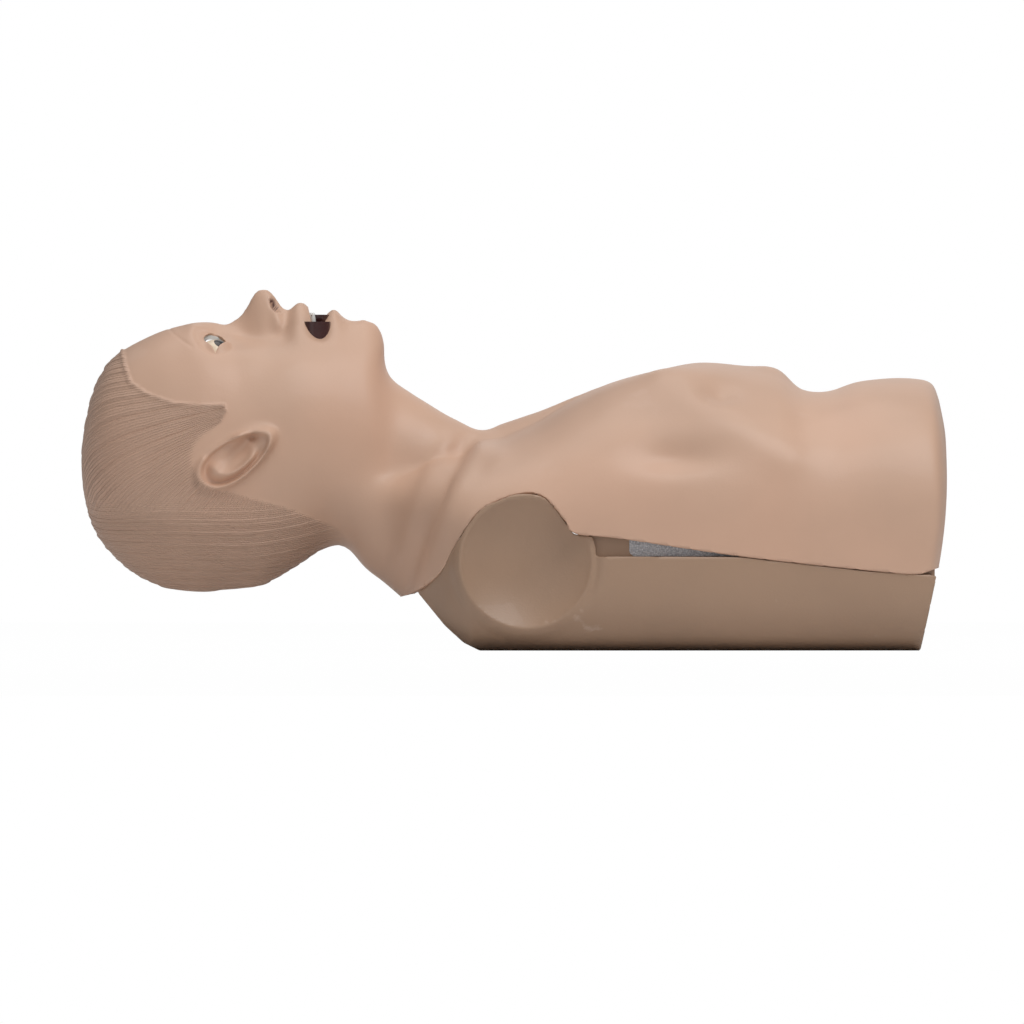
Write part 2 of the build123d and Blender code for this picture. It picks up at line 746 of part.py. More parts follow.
# Airway tube of the neck, held in the bracket of the neck post
with BuildPart() as trachea_tube:
    with BuildSketch(Plane.YZ.offset(TUBE_START_X)):
        with Locations((0, TUBE_Z)):
            Circle(TUBE_R)
            Circle(TUBE_R - TUBE_WALL, mode=Mode.SUBTRACT)
    extrude(amount=TUBE_END_X - TUBE_START_X)
finish("trachea_tube", trachea_tube)

# Spring base: a hollow pedestal with a seat for the spring and a guide for the plunger
with BuildPart() as spring_base:
    with BuildSketch(Plane.XZ):
        with BuildLine():
            seat_top = SEAT_Z + SEAT_T
            bore = PLUNGER_R + SLIDE_GAP
            Polyline(
                (bore, FLOOR_T + FOOT_T),
                (PEDESTAL_ROOT_R - PEDESTAL_WALL, FLOOR_T + FOOT_T),
                (SEAT_R - PEDESTAL_WALL, SEAT_Z),
                (bore, SEAT_Z),
                (bore, GUIDE_TOP_Z),
                (GUIDE_R, GUIDE_TOP_Z),
                (GUIDE_R, seat_top),
                (SEAT_R - SEAT_LIP_T, seat_top),
                (SEAT_R - SEAT_LIP_T, seat_top + SEAT_LIP_H),
                (SEAT_R, seat_top + SEAT_LIP_H),
                (SEAT_R, SEAT_Z),
                (PEDESTAL_ROOT_R, FLOOR_T + FOOT_T),
                (FOOT_R, FLOOR_T + FOOT_T),
                (FOOT_R, FLOOR_T),
                (bore, FLOOR_T),
                close=True,
            )
        make_face()
    revolve(axis=Axis.Z)
    with Locations(*[(x - SPRING_X, y, FLOOR_T) for x, y in FOOT_SCREWS]):
        Cylinder(SCREW_R + RUNNING_GAP, 3 * FOOT_T, mode=Mode.SUBTRACT)
spring_base.part = Pos(SPRING_X, 0, 0) * spring_base.part
finish("spring_base", spring_base)
screws("spring_base_screws", FOOT_SCREWS, FLOOR_T + FOOT_T, FOOT_T + SCREW_BITE)

# Spring: flat-sided wire wound about the guide, from the seat to the plunger disc
spring_start_z = SEAT_Z + SEAT_T + WIRE_H / 2 + PART_GAP
spring_length = PLUNGER_DISC_Z - PART_GAP - WIRE_H / 2 - spring_start_z
with BuildPart() as compression_spring:
    for step in range(SPRING_TURNS * SPRING_SIDES + 1):
        turned = 360 * step / SPRING_SIDES
        rise = spring_length * step / (SPRING_TURNS * SPRING_SIDES)
        out = Vector(1, 0, 0).rotate(Axis.Z, turned)
        middle = Vector(SPRING_X, 0, spring_start_z + rise) + out * SPRING_R
        with BuildSketch(Plane(origin=middle, x_dir=out, z_dir=Vector(0, 1, 0).rotate(Axis.Z, turned))):
            Rectangle(WIRE_W, WIRE_H)
    loft(ruled=True)
finish("compression_spring", compression_spring)

# Plunger: a rod that slides in the guide, with a disc that carries the rib plate
with BuildPart() as plunger:
    with BuildSketch(Plane.XY.offset(PLUNGER_BOTTOM_Z)):
        with Locations((SPRING_X, 0)):
            Circle(PLUNGER_R)
    extrude(amount=PLUNGER_DISC_Z + PLUNGER_DISC_T - PLUNGER_BOTTOM_Z)
    with BuildSketch(Plane.XY.offset(PLUNGER_DISC_Z)):
        with Locations((SPRING_X, 0)):
            Circle(PLUNGER_DISC_R)
    extrude(amount=PLUNGER_DISC_T)
    with Locations(*[(x, y, PLUNGER_DISC_Z) for x, y in RIB_SCREWS]):
        Cylinder(SCREW_R + RUNNING_GAP, 3 * PLUNGER_DISC_T, mode=Mode.SUBTRACT)
finish("plunger", plunger)

# Rib plate: an arched plate with slots between the ribs and a flat boss for the plunger disc
rib_boss_z = PLUNGER_DISC_Z + PLUNGER_DISC_T


def arch(x_from, x_to, top_z, half_width, drop, thickness, corner_r):
    """A plate with rounded corners that arches over Y: its top at top_z, its edges lower by the drop."""
    low = top_z - thickness
    wide = half_width + thickness
    wide_drop = drop * (wide / half_width) ** 2
    with BuildPart() as plate:
        with BuildSketch(Plane.YZ.offset(x_from - thickness)):
            with BuildLine():
                ThreePointArc((-wide, top_z - wide_drop), (0, top_z), (wide, top_z - wide_drop))
                Line((wide, top_z - wide_drop), (wide, low - wide_drop))
                ThreePointArc((wide, low - wide_drop), (0, low), (-wide, low - wide_drop))
                Line((-wide, low - wide_drop), (-wide, top_z - wide_drop))
            make_face()
        extrude(amount=x_to - x_from + 2 * thickness)
        with BuildSketch(Plane.XY.offset(top_z)):
            with Locations(((x_from + x_to) / 2, 0)):
                RectangleRounded(x_to - x_from, 2 * half_width, corner_r)
        extrude(amount=2 * drop, both=True, mode=Mode.INTERSECT)
    return plate.part


with BuildPart() as rib_plate:
    add(arch(RIB_START_X, RIB_END_X, RIB_TOP_Z, RIB_HALF_WIDTH, RIB_DROP, RIB_T, RIB_CORNER_R))
    with BuildSketch(Plane.XY.offset(RIB_TOP_Z)):
        with Locations((SPRING_X, 0)):
            with GridLocations(RIB_SLOT_X, 2 * RIB_SLOT_Y, 4, 2):
                SlotOverall(RIB_SLOT_LENGTH, RIB_SLOT_WIDTH, rotation=90)
    extrude(amount=-2 * (RIB_DROP + RIB_T), mode=Mode.SUBTRACT)
    with BuildSketch(Plane.XY.offset(rib_boss_z)):
        with Locations((SPRING_X, 0)):
            Circle(RIB_BOSS_R)
    extrude(amount=RIB_TOP_Z - 0.75 * RIB_T - rib_boss_z)
    with Locations(*[(x, y, rib_boss_z) for x, y in RIB_SCREWS]):
        Cylinder(
            SCREW_R + RUNNING_GAP,
            SCREW_BITE + PART_GAP,
            align=(Align.CENTER, Align.CENTER, Align.MIN),
            mode=Mode.SUBTRACT,
        )
finish("rib_plate", rib_plate)
screws("rib_plate_screws", RIB_SCREWS, PLUNGER_DISC_Z, PLUNGER_DISC_T + SCREW_BITE, up=-1.0)

# Lung bag: a flat bag on the rib plate
with BuildPart() as lung_bag:
    lung_drop = RIB_DROP * (LUNG_HALF_WIDTH / RIB_HALF_WIDTH) ** 2
    lung_top_z = RIB_TOP_Z + LUNG_T + PART_GAP
    add(
        arch(
            LUNG_START_X, LUNG_END_X, lung_top_z, LUNG_HALF_WIDTH, lung_drop, LUNG_T, LUNG_CORNER_R
        )
    )
finish("lung_bag", lung_bag)

# Spaces that the head pieces leave for each other
with BuildPart() as mouth_slot:
    with BuildSketch(Plane.XY.offset(MOUTH_FLOOR_Z - PART_GAP)):
        with Locations((MOUTH_X, 0)):
            RectangleRounded(
                MOUTH_GAPE + 2 * PART_GAP, 2 * (MOUTH_HALF_WIDTH + PART_GAP), MOUTH_CORNER_R + PART_GAP
            )
    extrude(amount=80.0)
barrel_room = neck_barrel(BARREL_R + SOFT_GAP - 0.1, BARREL_HALF_WIDTH + SOFT_GAP)

# Head skin: the soft vinyl head with its ears, open at the neck, at the mouth and at the eyes
with BuildPart() as ears:
    for side in (-1, 1):
        with BuildSketch(Plane.XZ.offset(-side * EAR_ROOT_Y)):
            with Locations(Location((EAR_X, EAR_Z, 0), (0, 0, EAR_TURN))):
                SlotOverall(2 * EAR_LONG, 2 * EAR_SHORT)
        extrude(amount=-side * (EAR_OUT_Y - EAR_ROOT_Y))
        rim = ears.faces().sort_by(Axis.Y)[0 if side < 0 else -1]
        fillet(rim.edges(), EAR_EDGE_R)
        with BuildSketch(Plane.XZ.offset(-side * EAR_OUT_Y)):
            with Locations(Location((EAR_X, EAR_Z, 0), (0, 0, EAR_TURN))):
                SlotOverall(2 * CONCHA_LONG, 2 * CONCHA_SHORT)
        extrude(amount=side * CONCHA_DEPTH, mode=Mode.SUBTRACT)

with BuildPart() as head_skin:
    add(head_form(0, HEAD, SECTION_STEPS))
    add(ears.part)
    add(head_form(SKIN_WALL), mode=Mode.SUBTRACT)
    add(head_region, mode=Mode.INTERSECT)
    add(barrel_room, mode=Mode.SUBTRACT)
    add(mouth_slot.part, mode=Mode.SUBTRACT)
    with Locations((EYE_X, -EYE_Y, EYE_Z), (EYE_X, EYE_Y, EYE_Z)):
        Cylinder(EYE_LID_R, 4 * EYE_R, mode=Mode.SUBTRACT)
    for side in (-1, 1):
        add(eye_ball(side, EYE_R + PART_GAP), mode=Mode.SUBTRACT)
finish("head_skin", head_skin)

# Skull: a hard shell inside the head skin, with a bulkhead and a beam to the hub on the neck pin
skull_region = side_block(
    [
        (-108.0, 300.0),
        (-108.0, 228.0),
        (-142.0, 218.0),
        (-150.0, 130.0),
        (-156.0, 20.0),
        (-360.0, 20.0),
        (-360.0, 300.0),
    ]
)
skull_outer = head_form(SKULL_INSET)
bulkhead_block = side_block(
    [
        (BULKHEAD_X, 20.0),
        (BULKHEAD_X + BULKHEAD_T, 20.0),
        (BULKHEAD_X + BULKHEAD_T, 300.0),
        (BULKHEAD_X, 300.0),
    ]
)
with BuildPart() as skull_shell:
    add((skull_outer - head_form(SKULL_INSET + SKULL_WALL)) & skull_region)
    add(head_form(SKULL_INSET + SKULL_WALL / 2) & bulkhead_block)
    with BuildSketch(Plane.XZ):
        with BuildLine():
            Polyline(
                (NECK_X, NECK_Z - BEAM_HEIGHT / 2),
                (NECK_X, NECK_Z + BEAM_HEIGHT / 2),
                (BULKHEAD_X + BULKHEAD_T / 2, BEAM_END_Z + BEAM_HEIGHT),
                (BULKHEAD_X + BULKHEAD_T / 2, BEAM_END_Z - BEAM_HEIGHT),
                close=True,
            )
        make_face()
        with Locations((NECK_X, NECK_Z)):
            Circle(HUB_R)
    extrude(amount=HUB_HALF_WIDTH, both=True)
    with BuildSketch(Plane.XZ):
        with Locations((NECK_X, NECK_Z)):
            Circle(PIN_R + RUNNING_GAP)
    extrude(amount=WIDE, both=True, mode=Mode.SUBTRACT)
    add(mouth_slot.part, mode=Mode.SUBTRACT)
    with Locations((EYE_X, -EYE_Y, EYE_Z), (EYE_X, EYE_Y, EYE_Z)):
        Cylinder(EYE_R + PART_GAP, 4 * EYE_R, mode=Mode.SUBTRACT)
finish("skull_shell", skull_shell)

# Eyes
for side, name in ((-1, "right"), (1, "left")):
    with BuildPart() as eye:
        add(eye_ball(side, EYE_R))
    finish(f"eye_{name}", eye)

# Mouth lining: a dark cup in the slot of the lips, with a hole in its floor for the throat
with BuildPart() as mouth_lining:
    with BuildSketch(Plane.XY.offset(MOUTH_FLOOR_Z)):
        with Locations((MOUTH_X, 0)):
            RectangleRounded(MOUTH_GAPE, 2 * MOUTH_HALF_WIDTH, MOUTH_CORNER_R)
    extrude(amount=MOUTH_RIM_Z - MOUTH_FLOOR_Z)
    with BuildSketch(Plane.XY.offset(MOUTH_FLOOR_Z + MOUTH_WALL)):
        with Locations((MOUTH_X, 0)):
            RectangleRounded(
                MOUTH_GAPE - 2 * MOUTH_WALL,
                2 * (MOUTH_HALF_WIDTH - MOUTH_WALL),
                MOUTH_CORNER_R - MOUTH_WALL,
            )
    extrude(amount=MOUTH_RIM_Z, mode=Mode.SUBTRACT)
    with Locations((THROAT_X, 0, MOUTH_FLOOR_Z)):
        Cylinder(TUBE_R + RUNNING_GAP, 4 * MOUTH_WALL, mode=Mode.SUBTRACT)
finish("mouth_lining", mouth_lining)

# Throat tube
with BuildPart() as throat_tube:
    with BuildSketch(Plane.XY.offset(THROAT_END_Z)):
        with Locations((THROAT_X, 0)):
            Circle(TUBE_R)
            Circle(TUBE_R - TUBE_WALL, mode=Mode.SUBTRACT)
    extrude(amount=MOUTH_FLOOR_Z + MOUTH_WALL - THROAT_END_Z)
finish("throat_tube", throat_tube)

# Teeth: a row on a gum bar against the upper and the lower side of the lining
for name, side, count in (("upper_teeth", -1, TEETH), ("lower_teeth", 1, TEETH)):
    wall_x = MOUTH_X + side * (MOUTH_GAPE / 2 - MOUTH_WALL)
    with BuildPart() as teeth:
        with BuildSketch(Plane.XY.offset(GUM_Z)):
            with Locations((wall_x - side * TOOTH_T / 2, 0)):
                Rectangle(TOOTH_T, count * TOOTH_PITCH)
        extrude(amount=GUM_H)
        with BuildSketch(Plane.XY.offset(GUM_Z)):
            with Locations((wall_x - side * TOOTH_T / 2, 0)):
                with GridLocations(TOOTH_PITCH, TOOTH_PITCH, 1, count):
                    Rectangle(TOOTH_T, TOOTH_WIDTH)
        extrude(amount=TOOTH_H - (0 if side < 0 else LOWER_TOOTH_DROP))
    finish(name, teeth)

# Tongue
with BuildPart() as tongue:
    with BuildSketch(Plane.XY.offset(MOUTH_FLOOR_Z + MOUTH_WALL)):
        with Locations((TONGUE_X, 0)):
            RectangleRounded(TONGUE_LENGTH, 2 * TONGUE_HALF_WIDTH, 0.4 * TONGUE_LENGTH)
    extrude(amount=TONGUE_H)
    chamfer(tongue.faces().sort_by(Axis.Z)[-1].edges(), 0.3 * TONGUE_LENGTH)
finish("tongue", tongue)
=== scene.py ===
"""A CPR training manikin: soft skin over the head, neck and chest, on a moulded base.

The outer forms are drawn from the same sections as the solids, as fine smooth meshes, and the
details of the face, ears, hair and chest are pressed into them.
"""

import json
import math

import bmesh
import bpy
import numpy as np
from bpy.props import FloatProperty, FloatVectorProperty, PointerProperty
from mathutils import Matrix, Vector
from mathutils.kdtree import KDTree


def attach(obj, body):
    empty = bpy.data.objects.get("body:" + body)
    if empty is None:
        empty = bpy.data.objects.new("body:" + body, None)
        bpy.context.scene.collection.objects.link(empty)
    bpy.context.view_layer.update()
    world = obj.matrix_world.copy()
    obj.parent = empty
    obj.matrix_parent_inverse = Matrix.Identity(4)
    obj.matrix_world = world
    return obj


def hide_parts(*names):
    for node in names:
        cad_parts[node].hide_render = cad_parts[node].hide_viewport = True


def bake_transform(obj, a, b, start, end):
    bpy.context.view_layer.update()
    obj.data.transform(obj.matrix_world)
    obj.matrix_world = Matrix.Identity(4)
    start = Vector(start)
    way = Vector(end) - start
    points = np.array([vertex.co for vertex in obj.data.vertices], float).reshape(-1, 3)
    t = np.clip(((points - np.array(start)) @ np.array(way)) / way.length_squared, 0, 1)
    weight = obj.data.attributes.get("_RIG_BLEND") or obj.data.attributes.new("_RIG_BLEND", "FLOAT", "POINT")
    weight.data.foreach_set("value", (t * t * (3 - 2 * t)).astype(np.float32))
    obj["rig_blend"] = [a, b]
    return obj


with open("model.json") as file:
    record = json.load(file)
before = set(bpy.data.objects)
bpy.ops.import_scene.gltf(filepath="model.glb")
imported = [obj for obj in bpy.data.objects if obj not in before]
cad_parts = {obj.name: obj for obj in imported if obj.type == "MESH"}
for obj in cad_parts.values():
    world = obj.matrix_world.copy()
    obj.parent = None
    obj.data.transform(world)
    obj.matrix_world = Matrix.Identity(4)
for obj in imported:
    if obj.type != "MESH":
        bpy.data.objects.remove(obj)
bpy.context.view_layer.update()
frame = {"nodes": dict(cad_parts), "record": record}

bl_info = {
    "name": "CPR training manikin",
    "version": (1, 0, 0),
    "blender": (4, 5, 0),
    "location": "3D View > Sidebar > Manikin",
    "description": "Builds the skin, base, eyes, mouth and stage of a CPR training manikin",
    "category": "Object",
}

MM = 0.001

# Head sections square to X, in mm: place, face height, half width, height of the widest point,
# bottom and taper, which is above 1 where the jaw narrows upwards
HEAD_SECTIONS = [
    (-337.4, 152.0, 3.0, 148.0, 144.0, 0.92),
    (-337.0, 158.0, 18.0, 148.0, 138.0, 0.92),
    (-334.5, 176.0, 35.0, 148.0, 116.0, 0.92),
    (-327.5, 204.0, 52.5, 146.0, 94.5, 0.92),
    (-313.0, 227.5, 66.0, 142.0, 74.5, 0.92),
    (-292.0, 241.2, 73.8, 139.0, 57.6, 0.92),
    (-266.0, 251.6, 77.0, 138.0, 47.8, 0.92),
    (-242.0, 255.8, 76.5, 140.0, 46.0, 0.92),
    (-227.0, 252.0, 75.0, 144.0, 47.6, 0.92),
    (-211.0, 245.0, 73.3, 149.0, 49.0, 0.93),
    (-202.0, 244.5, 72.5, 152.0, 49.6, 0.94),
    (-194.5, 245.0, 72.0, 154.0, 51.6, 0.95),
    (-187.6, 246.5, 71.5, 155.0, 56.0, 0.97),
    (-179.8, 249.0, 70.5, 156.0, 60.0, 1.0),
    (-170.0, 251.0, 69.0, 156.0, 66.0, 1.03),
    (-149.5, 250.0, 64.7, 155.0, 79.2, 1.12),
    (-140.8, 251.5, 62.5, 153.0, 83.0, 1.18),
    (-132.2, 250.0, 61.0, 150.0, 85.0, 1.24),
    (-111.5, 245.0, 58.5, 152.0, 84.0, 1.42),
    (-102.6, 234.0, 50.0, 172.0, 110.0, 1.7),
    (-101.6, 228.0, 40.0, 176.0, 130.0, 1.7),
]
# Line of the nose, lips and chin along the middle of the face, and how wide it stands there
PROFILE = [
    (-245.0, 256.0, 20.0),
    (-234.0, 255.6, 12.0),
    (-226.6, 253.5, 8.5),
    (-218.8, 257.4, 8.0),
    (-211.0, 265.0, 8.5),
    (-203.2, 278.8, 10.5),
    (-198.0, 282.3, 12.5),
    (-193.0, 282.0, 13.5),
    (-187.6, 277.0, 14.0),
    (-183.0, 270.0, 14.0),
    (-179.8, 265.0, 13.0),
    (-176.5, 265.2, 17.0),
    (-172.0, 269.5, 23.0),
    (-167.5, 272.2, 25.0),
    (-162.0, 269.0, 25.0),
    (-157.0, 263.0, 24.0),
    (-150.0, 259.0, 24.0),
    (-145.0, 263.5, 24.0),
    (-140.8, 267.0, 23.0),
    (-137.0, 263.5, 24.0),
    (-132.5, 258.6, 26.0),
    (-125.2, 256.8, 26.0),
    (-117.4, 257.8, 24.0),
    (-109.6, 255.4, 22.0),
    (-104.5, 249.5, 20.0),
    (-101.6, 240.0, 18.0),
]
# Neck and torso sections: place, top, half width of the neck, shoulder height, half width,
# height of the widest point and bottom
TORSO_SECTIONS = [
    (-131.0, 200.0, 47.0, 140.0, 44.0, 130.0, 88.0),
    (-123.0, 208.0, 49.5, 140.0, 46.0, 125.0, 70.5),
    (-102.0, 213.0, 51.0, 136.0, 57.0, 110.0, 53.0),
    (-75.0, 197.0, 52.0, 142.0, 98.0, 98.0, 30.0),
    (-48.0, 180.6, 56.0, 153.0, 146.0, 89.0, 8.0),
    (-31.0, 173.0, 62.0, 158.0, 158.0, 87.0, -5.0),
    (14.0, 184.4, 58.0, 176.0, 165.5, 87.0, -6.0),
    (50.0, 199.0, 26.0, 197.0, 166.0, 91.0, -6.0),
    (74.0, 208.0, 10.0, 208.0, 166.0, 94.0, -6.0),
    (108.0, 217.4, 10.0, 217.4, 165.0, 97.0, -6.0),
    (148.0, 224.4, 10.0, 224.4, 163.0, 98.0, -6.0),
    (180.0, 221.5, 10.0, 221.5, 160.5, 97.5, -6.0),
    (204.0, 217.0, 10.0, 217.0, 158.0, 97.0, -6.0),
    (226.0, 205.6, 10.0, 205.6, 156.0, 96.0, -6.0),
    (246.0, 204.6, 10.0, 204.6, 154.5, 95.0, -6.0),
    (272.0, 210.0, 10.0, 210.0, 153.0, 94.0, -6.0),
    (300.0, 212.2, 10.0, 212.2, 152.0, 94.0, -6.0),
    (322.0, 210.5, 10.0, 210.5, 150.8, 94.0, -6.0),
    (328.0, 207.5, 10.0, 207.5, 150.0, 94.0, -6.0),
    (333.0, 196.0, 10.0, 196.0, 144.0, 94.0, -6.0),
    (336.6, 170.0, 10.0, 170.0, 128.0, 94.0, -6.0),
]
# Lower edge of the skin in the side view, from the nape round the arm socket to the waist
SKIN_HEM = [
    (-140.0, -60.0),
    (-91.0, -40.0),
    (-89.3, 41.3),
    (-75.3, 46.8),
    (-58.1, 60.8),
    (-46.4, 81.9),
    (-26.9, 109.2),
    (4.3, 122.5),
    (23.8, 119.3),
    (39.4, 101.4),
    (47.2, 91.3),
    (82.3, 87.4),
    (175.9, 73.6),
    (277.3, 62.4),
    (316.3, 60.1),
    (340.0, 68.0),
]
# Upper edge of the tray's outside: under the skin's arch, along the ledge, then under the skin again
TRAY_TOP = [
    (-140.0, -60.0),
    (-91.4, -41.4),
    (-89.7, 39.9),
    (-75.7, 45.4),
    (-58.5, 59.4),
    (-46.8, 80.5),
    (-27.3, 107.8),
    (-12.0, 116.2),
    (3.9, 121.1),
    (23.4, 117.9),
    (39.0, 100.0),
    (46.5, 90.0),
    (60.5, 88.2),
    (62.5, 80.0),
    (63.0, 72.8),
    (174.0, 72.4),
    (277.3, 61.0),
    (316.3, 58.7),
    (340.0, 58.0),
]
BASE_FRONT = [(-80.0, 52.0), (-75.3, 45.2), (-54.2, 19.5), (-40.0, 6.5), (-26.9, 0.0), (400.0, 0.0)]
BASE_END = (327.6, 61.0, 314.7, 0.0)
LEDGE_Z = 72.8
BAND_INSET = 8.8
BAND_TOP_Z = 100.0
BAND_BELOW = 16.0
BASE_EDGE = [(0.4, -0.2), (1.2, -0.4), (4.0, -0.4), (10.0, -0.4)]
SOCKET = (9.0, 68.6)
SOCKET_R = 50.0
SOCKET_DEPTH = 15.0
SOCKET_FACE_Y = 161.0
SOCKET_FLARE = 10.0
SOCKET_LIP = 1.2
SEAM_TOP = (-30.8, 171.6)
SEAM_TIP = (-89.3, 41.3)
EYE = (-233.0, 32.0, 228.0)
EYE_R = 14.0
IRIS = (-227.8, 38.0, 239.4)
IRIS_R = 6.4
EYE_GAP = 9.0
EYE_HALF_WIDTH = 15.0
PUPIL_R = 2.6
LID_OVER = 1.5
LID_FOLD_R = 15.5
LID_EDGE = [(0.5, -0.3), (1.4, -0.3), (3.0, 0.8)]
MOUTH = (-153.6, 0.0)
MOUTH_GAP = 7.4
MOUTH_HALF_WIDTH = 22.0
LIP_EDGE = [(0.8, -0.9), (2.4, -1.3), (4.6, -0.8), (9.0, 1.0)]
FACE_Z = 215.0
HOLLOW_X = 1.2
HOLLOW_Z = 261.5
HOLLOW_RADII = (9.2, 15.0, 17.0)
TEETH = 8
TOOTH_STEP = 3.9
TOOTH_X = -160.2
TOOTH_Z = 255.0
TOOTH_RADII = (1.9, 1.9, 8.2)
TOOTH_BOW = 3.6
TOOTH_BOW_Y = 14.0
EAR = (-216.8, 149.6)
EAR_TURN = 34.0
EAR_LONG = 37.5
EAR_SHORT = 17.0
EAR_Y = 71.5
EAR_HALF_THICKNESS = 10.5
# Soft rises and hollows: height, then for each of two measures the place and the reach. On the face
# the measures are X and the distance from the middle
FACE_MOUNDS = [
    (-9.0, EYE[0], 13.0, EYE[1], 14.0),
    (-3.0, EYE[0] + 2, 9.0, 15.0, 5.0),
    (3.2, -208.0, 12.0, 47.0, 12.0),
    (2.4, -250.0, 7.0, 30.0, 17.0),
    (-1.2, -180.0, 9.0, 30.0, 9.0),
    (-4.0, MOUTH[0], 9.0, MOUTH_HALF_WIDTH + 1, 7.0),
    (1.6, MOUTH[0] - 3, 15.0, MOUTH_HALF_WIDTH + 11, 6.0),
    (-1.3, -174.0, 4.0, 0.0, 2.6),
]
# Bowl, lobe, front knob and canal of the ear, along its length and across it
EAR_MOUNDS = [
    (-6.5, 6.0, 15.0, 3.5, 5.5),
    (4.5, 27.0, 8.0, -1.0, 8.0),
    (5.6, 12.0, 6.0, 12.5, 3.2),
    (-5.0, 20.0, 3.4, 6.5, 2.4),
]
# Chest muscle, belly, edge of the ribs and throat, in X and the distance from the middle
CHEST_MOUNDS = [
    (4.0, 108.0, 46.0, 82.0, 34.0),
    (-3.0, 234.0, 16.0, 0.0, 40.0),
    (2.0, 200.0, 14.0, 24.0, 20.0),
    (-3.0, -26.0, 9.0, 0.0, 13.0),
]
# Hollows of the flank in X and Z, each with the distance from the middle where it starts
FLANK_MOUNDS = [
    (35.0, (-4.2, 158.0, 15.0, 199.0, 9.0)),
    (80.0, (-5.0, 126.0, 34.0, 152.0, 13.0)),
]
WAIST_MOUND = (-0.7, 330.0, 10.0, 160.0, 60.0)
# Lines that ridges and folds of the chest follow: the ribs and the neck in the side view, the
# collarbone in X and the distance from the middle
RIB_EDGE = [(118.0, 206.0), (142.0, 196.0), (166.0, 181.0), (190.0, 163.0), (214.0, 150.0)]
COLLARBONE = [(-34.0, 12.0), (-30.0, 60.0), (-14.0, 118.0)]
NECK_FOLD = [(-32.0, 172.0), (-52.0, 138.0), (-68.0, 100.0), (-86.0, 52.0)]
CHEST_RELIEF = 1.6
# Waves across the locks of hair: height, length in mm and start
HAIR_WAVES = [(0.5, 9.3, 0.0), (0.5, 5.3, 1.3)]
# Hairline in the side view, from the top of the forehead to behind the ear
HAIRLINE = [
    (-311.0, 262.0),
    (-306.0, 240.0),
    (-302.5, 222.0),
    (-298.0, 209.0),
    (-286.0, 200.5),
    (-264.5, 193.0),
    (-245.0, 191.5),
    (-226.0, 191.5),
    (-224.0, 186.0),
    (-228.0, 178.0),
    (-236.0, 170.0),
    (-243.0, 150.0),
    (-232.0, 126.0),
    (-205.0, 118.0),
    (-180.0, 112.0),
    (-160.0, 104.0),
    (-140.0, 96.0),
    (-120.0, 80.0),
]


# Name, place and size of each lamp in metres, and its share of the key light's power
LAMPS = [
    ("key", (0.9, -1.3, 2.3), 1.6, 1.0),
    ("top", (-0.2, 0.4, 2.6), 1.8, 0.45),
    ("front", (-1.2, -2.6, 0.9), 2.2, 0.20),
    ("back", (0.6, 2.4, 1.2), 2.0, 0.22),
]


class SkinSizes(bpy.types.PropertyGroup):
    """Sizes and colours of the soft skin"""

    voxel: FloatProperty(
        name="Mesh size",
        description="Distance between the points of the skin's mesh",
        default=0.0026,
        min=0.0015,
        max=0.006,
        unit="LENGTH",
    )
    wall: FloatProperty(
        name="Wall",
        description="Thickness of the skin as it shows at its free edge",
        default=0.0045,
        unit="LENGTH",
    )
    colour: FloatVectorProperty(
        name="Skin colour",
        description="Colour of the vinyl skin",
        subtype="COLOR",
        default=(0.640, 0.410, 0.290),
        size=3,
    )
    base_colour: FloatVectorProperty(
        name="Base colour",
        description="Colour of the moulded base",
        subtype="COLOR",
        default=(0.400, 0.255, 0.168),
        size=3,
    )
    hair_depth: FloatProperty(
        name="Hair depth",
        description="Height of the coarse locks moulded on the head",
        default=0.00045,
        unit="LENGTH",
    )


class StageSizes(bpy.types.PropertyGroup):
    """Camera and light"""

    camera_distance: FloatProperty(
        name="Camera distance",
        description="Distance from the middle of the manikin to the camera",
        default=24.0,
        unit="LENGTH",
    )
    view_width: FloatProperty(
        name="View width",
        description="Width that the camera sees at the manikin",
        default=0.799,
        unit="LENGTH",
    )
    key_power: FloatProperty(
        name="Key light",
        description="Power of the large lamp above",
        default=37.0,
        unit="POWER",
    )


def smooth_step(t):
    """0 to 1 with level ends."""
    t = np.clip(t, 0.0, 1.0)
    return t * t * (3 - 2 * t)


def hill(distance, reach):
    """A smooth hill of height 1."""
    return np.exp(-((distance / reach) ** 2))


def mounds(rows, first, second):
    """The sum of the soft rises and hollows in a table, over two measures of each point."""
    total = 0.0
    for height, at_first, reach_first, at_second, reach_second in rows:
        rise = hill(first - at_first, reach_first) * hill(second - at_second, reach_second)
        total = total + height * rise
    return total


def through(places, values, x):
    """A smooth curve through the values at the places, with no overshoot."""
    px, pv = np.array(places, float), np.array(values, float)
    step = np.diff(px)
    slope = np.diff(pv) / step
    lean = np.zeros_like(pv)
    before, after = slope[:-1], slope[1:]
    same_way = before * after > 0
    w_before, w_after = 2 * step[1:] + step[:-1], step[1:] + 2 * step[:-1]
    safe_before = np.where(same_way, before, 1.0)
    safe_after = np.where(same_way, after, 1.0)
    mean = (w_before + w_after) / (w_before / safe_before + w_after / safe_after)
    lean[1:-1] = np.where(same_way, mean, 0.0)
    lean[0], lean[-1] = slope[0], slope[-1]
    x = np.clip(np.asarray(x, float), px[0], px[-1])
    k = np.clip(np.searchsorted(px, x) - 1, 0, len(step) - 1)
    t = (x - px[k]) / step[k]
    rise = pv[k] * (1 + 2 * t) * (1 - t) ** 2 + pv[k + 1] * t * t * (3 - 2 * t)
    return rise + step[k] * (lean[k] * t * (1 - t) ** 2 - lean[k + 1] * t * t * (1 - t))


def column(table, index, x):
    """One column of a section table along X."""
    return through([row[0] for row in table], [row[index] for row in table], x)


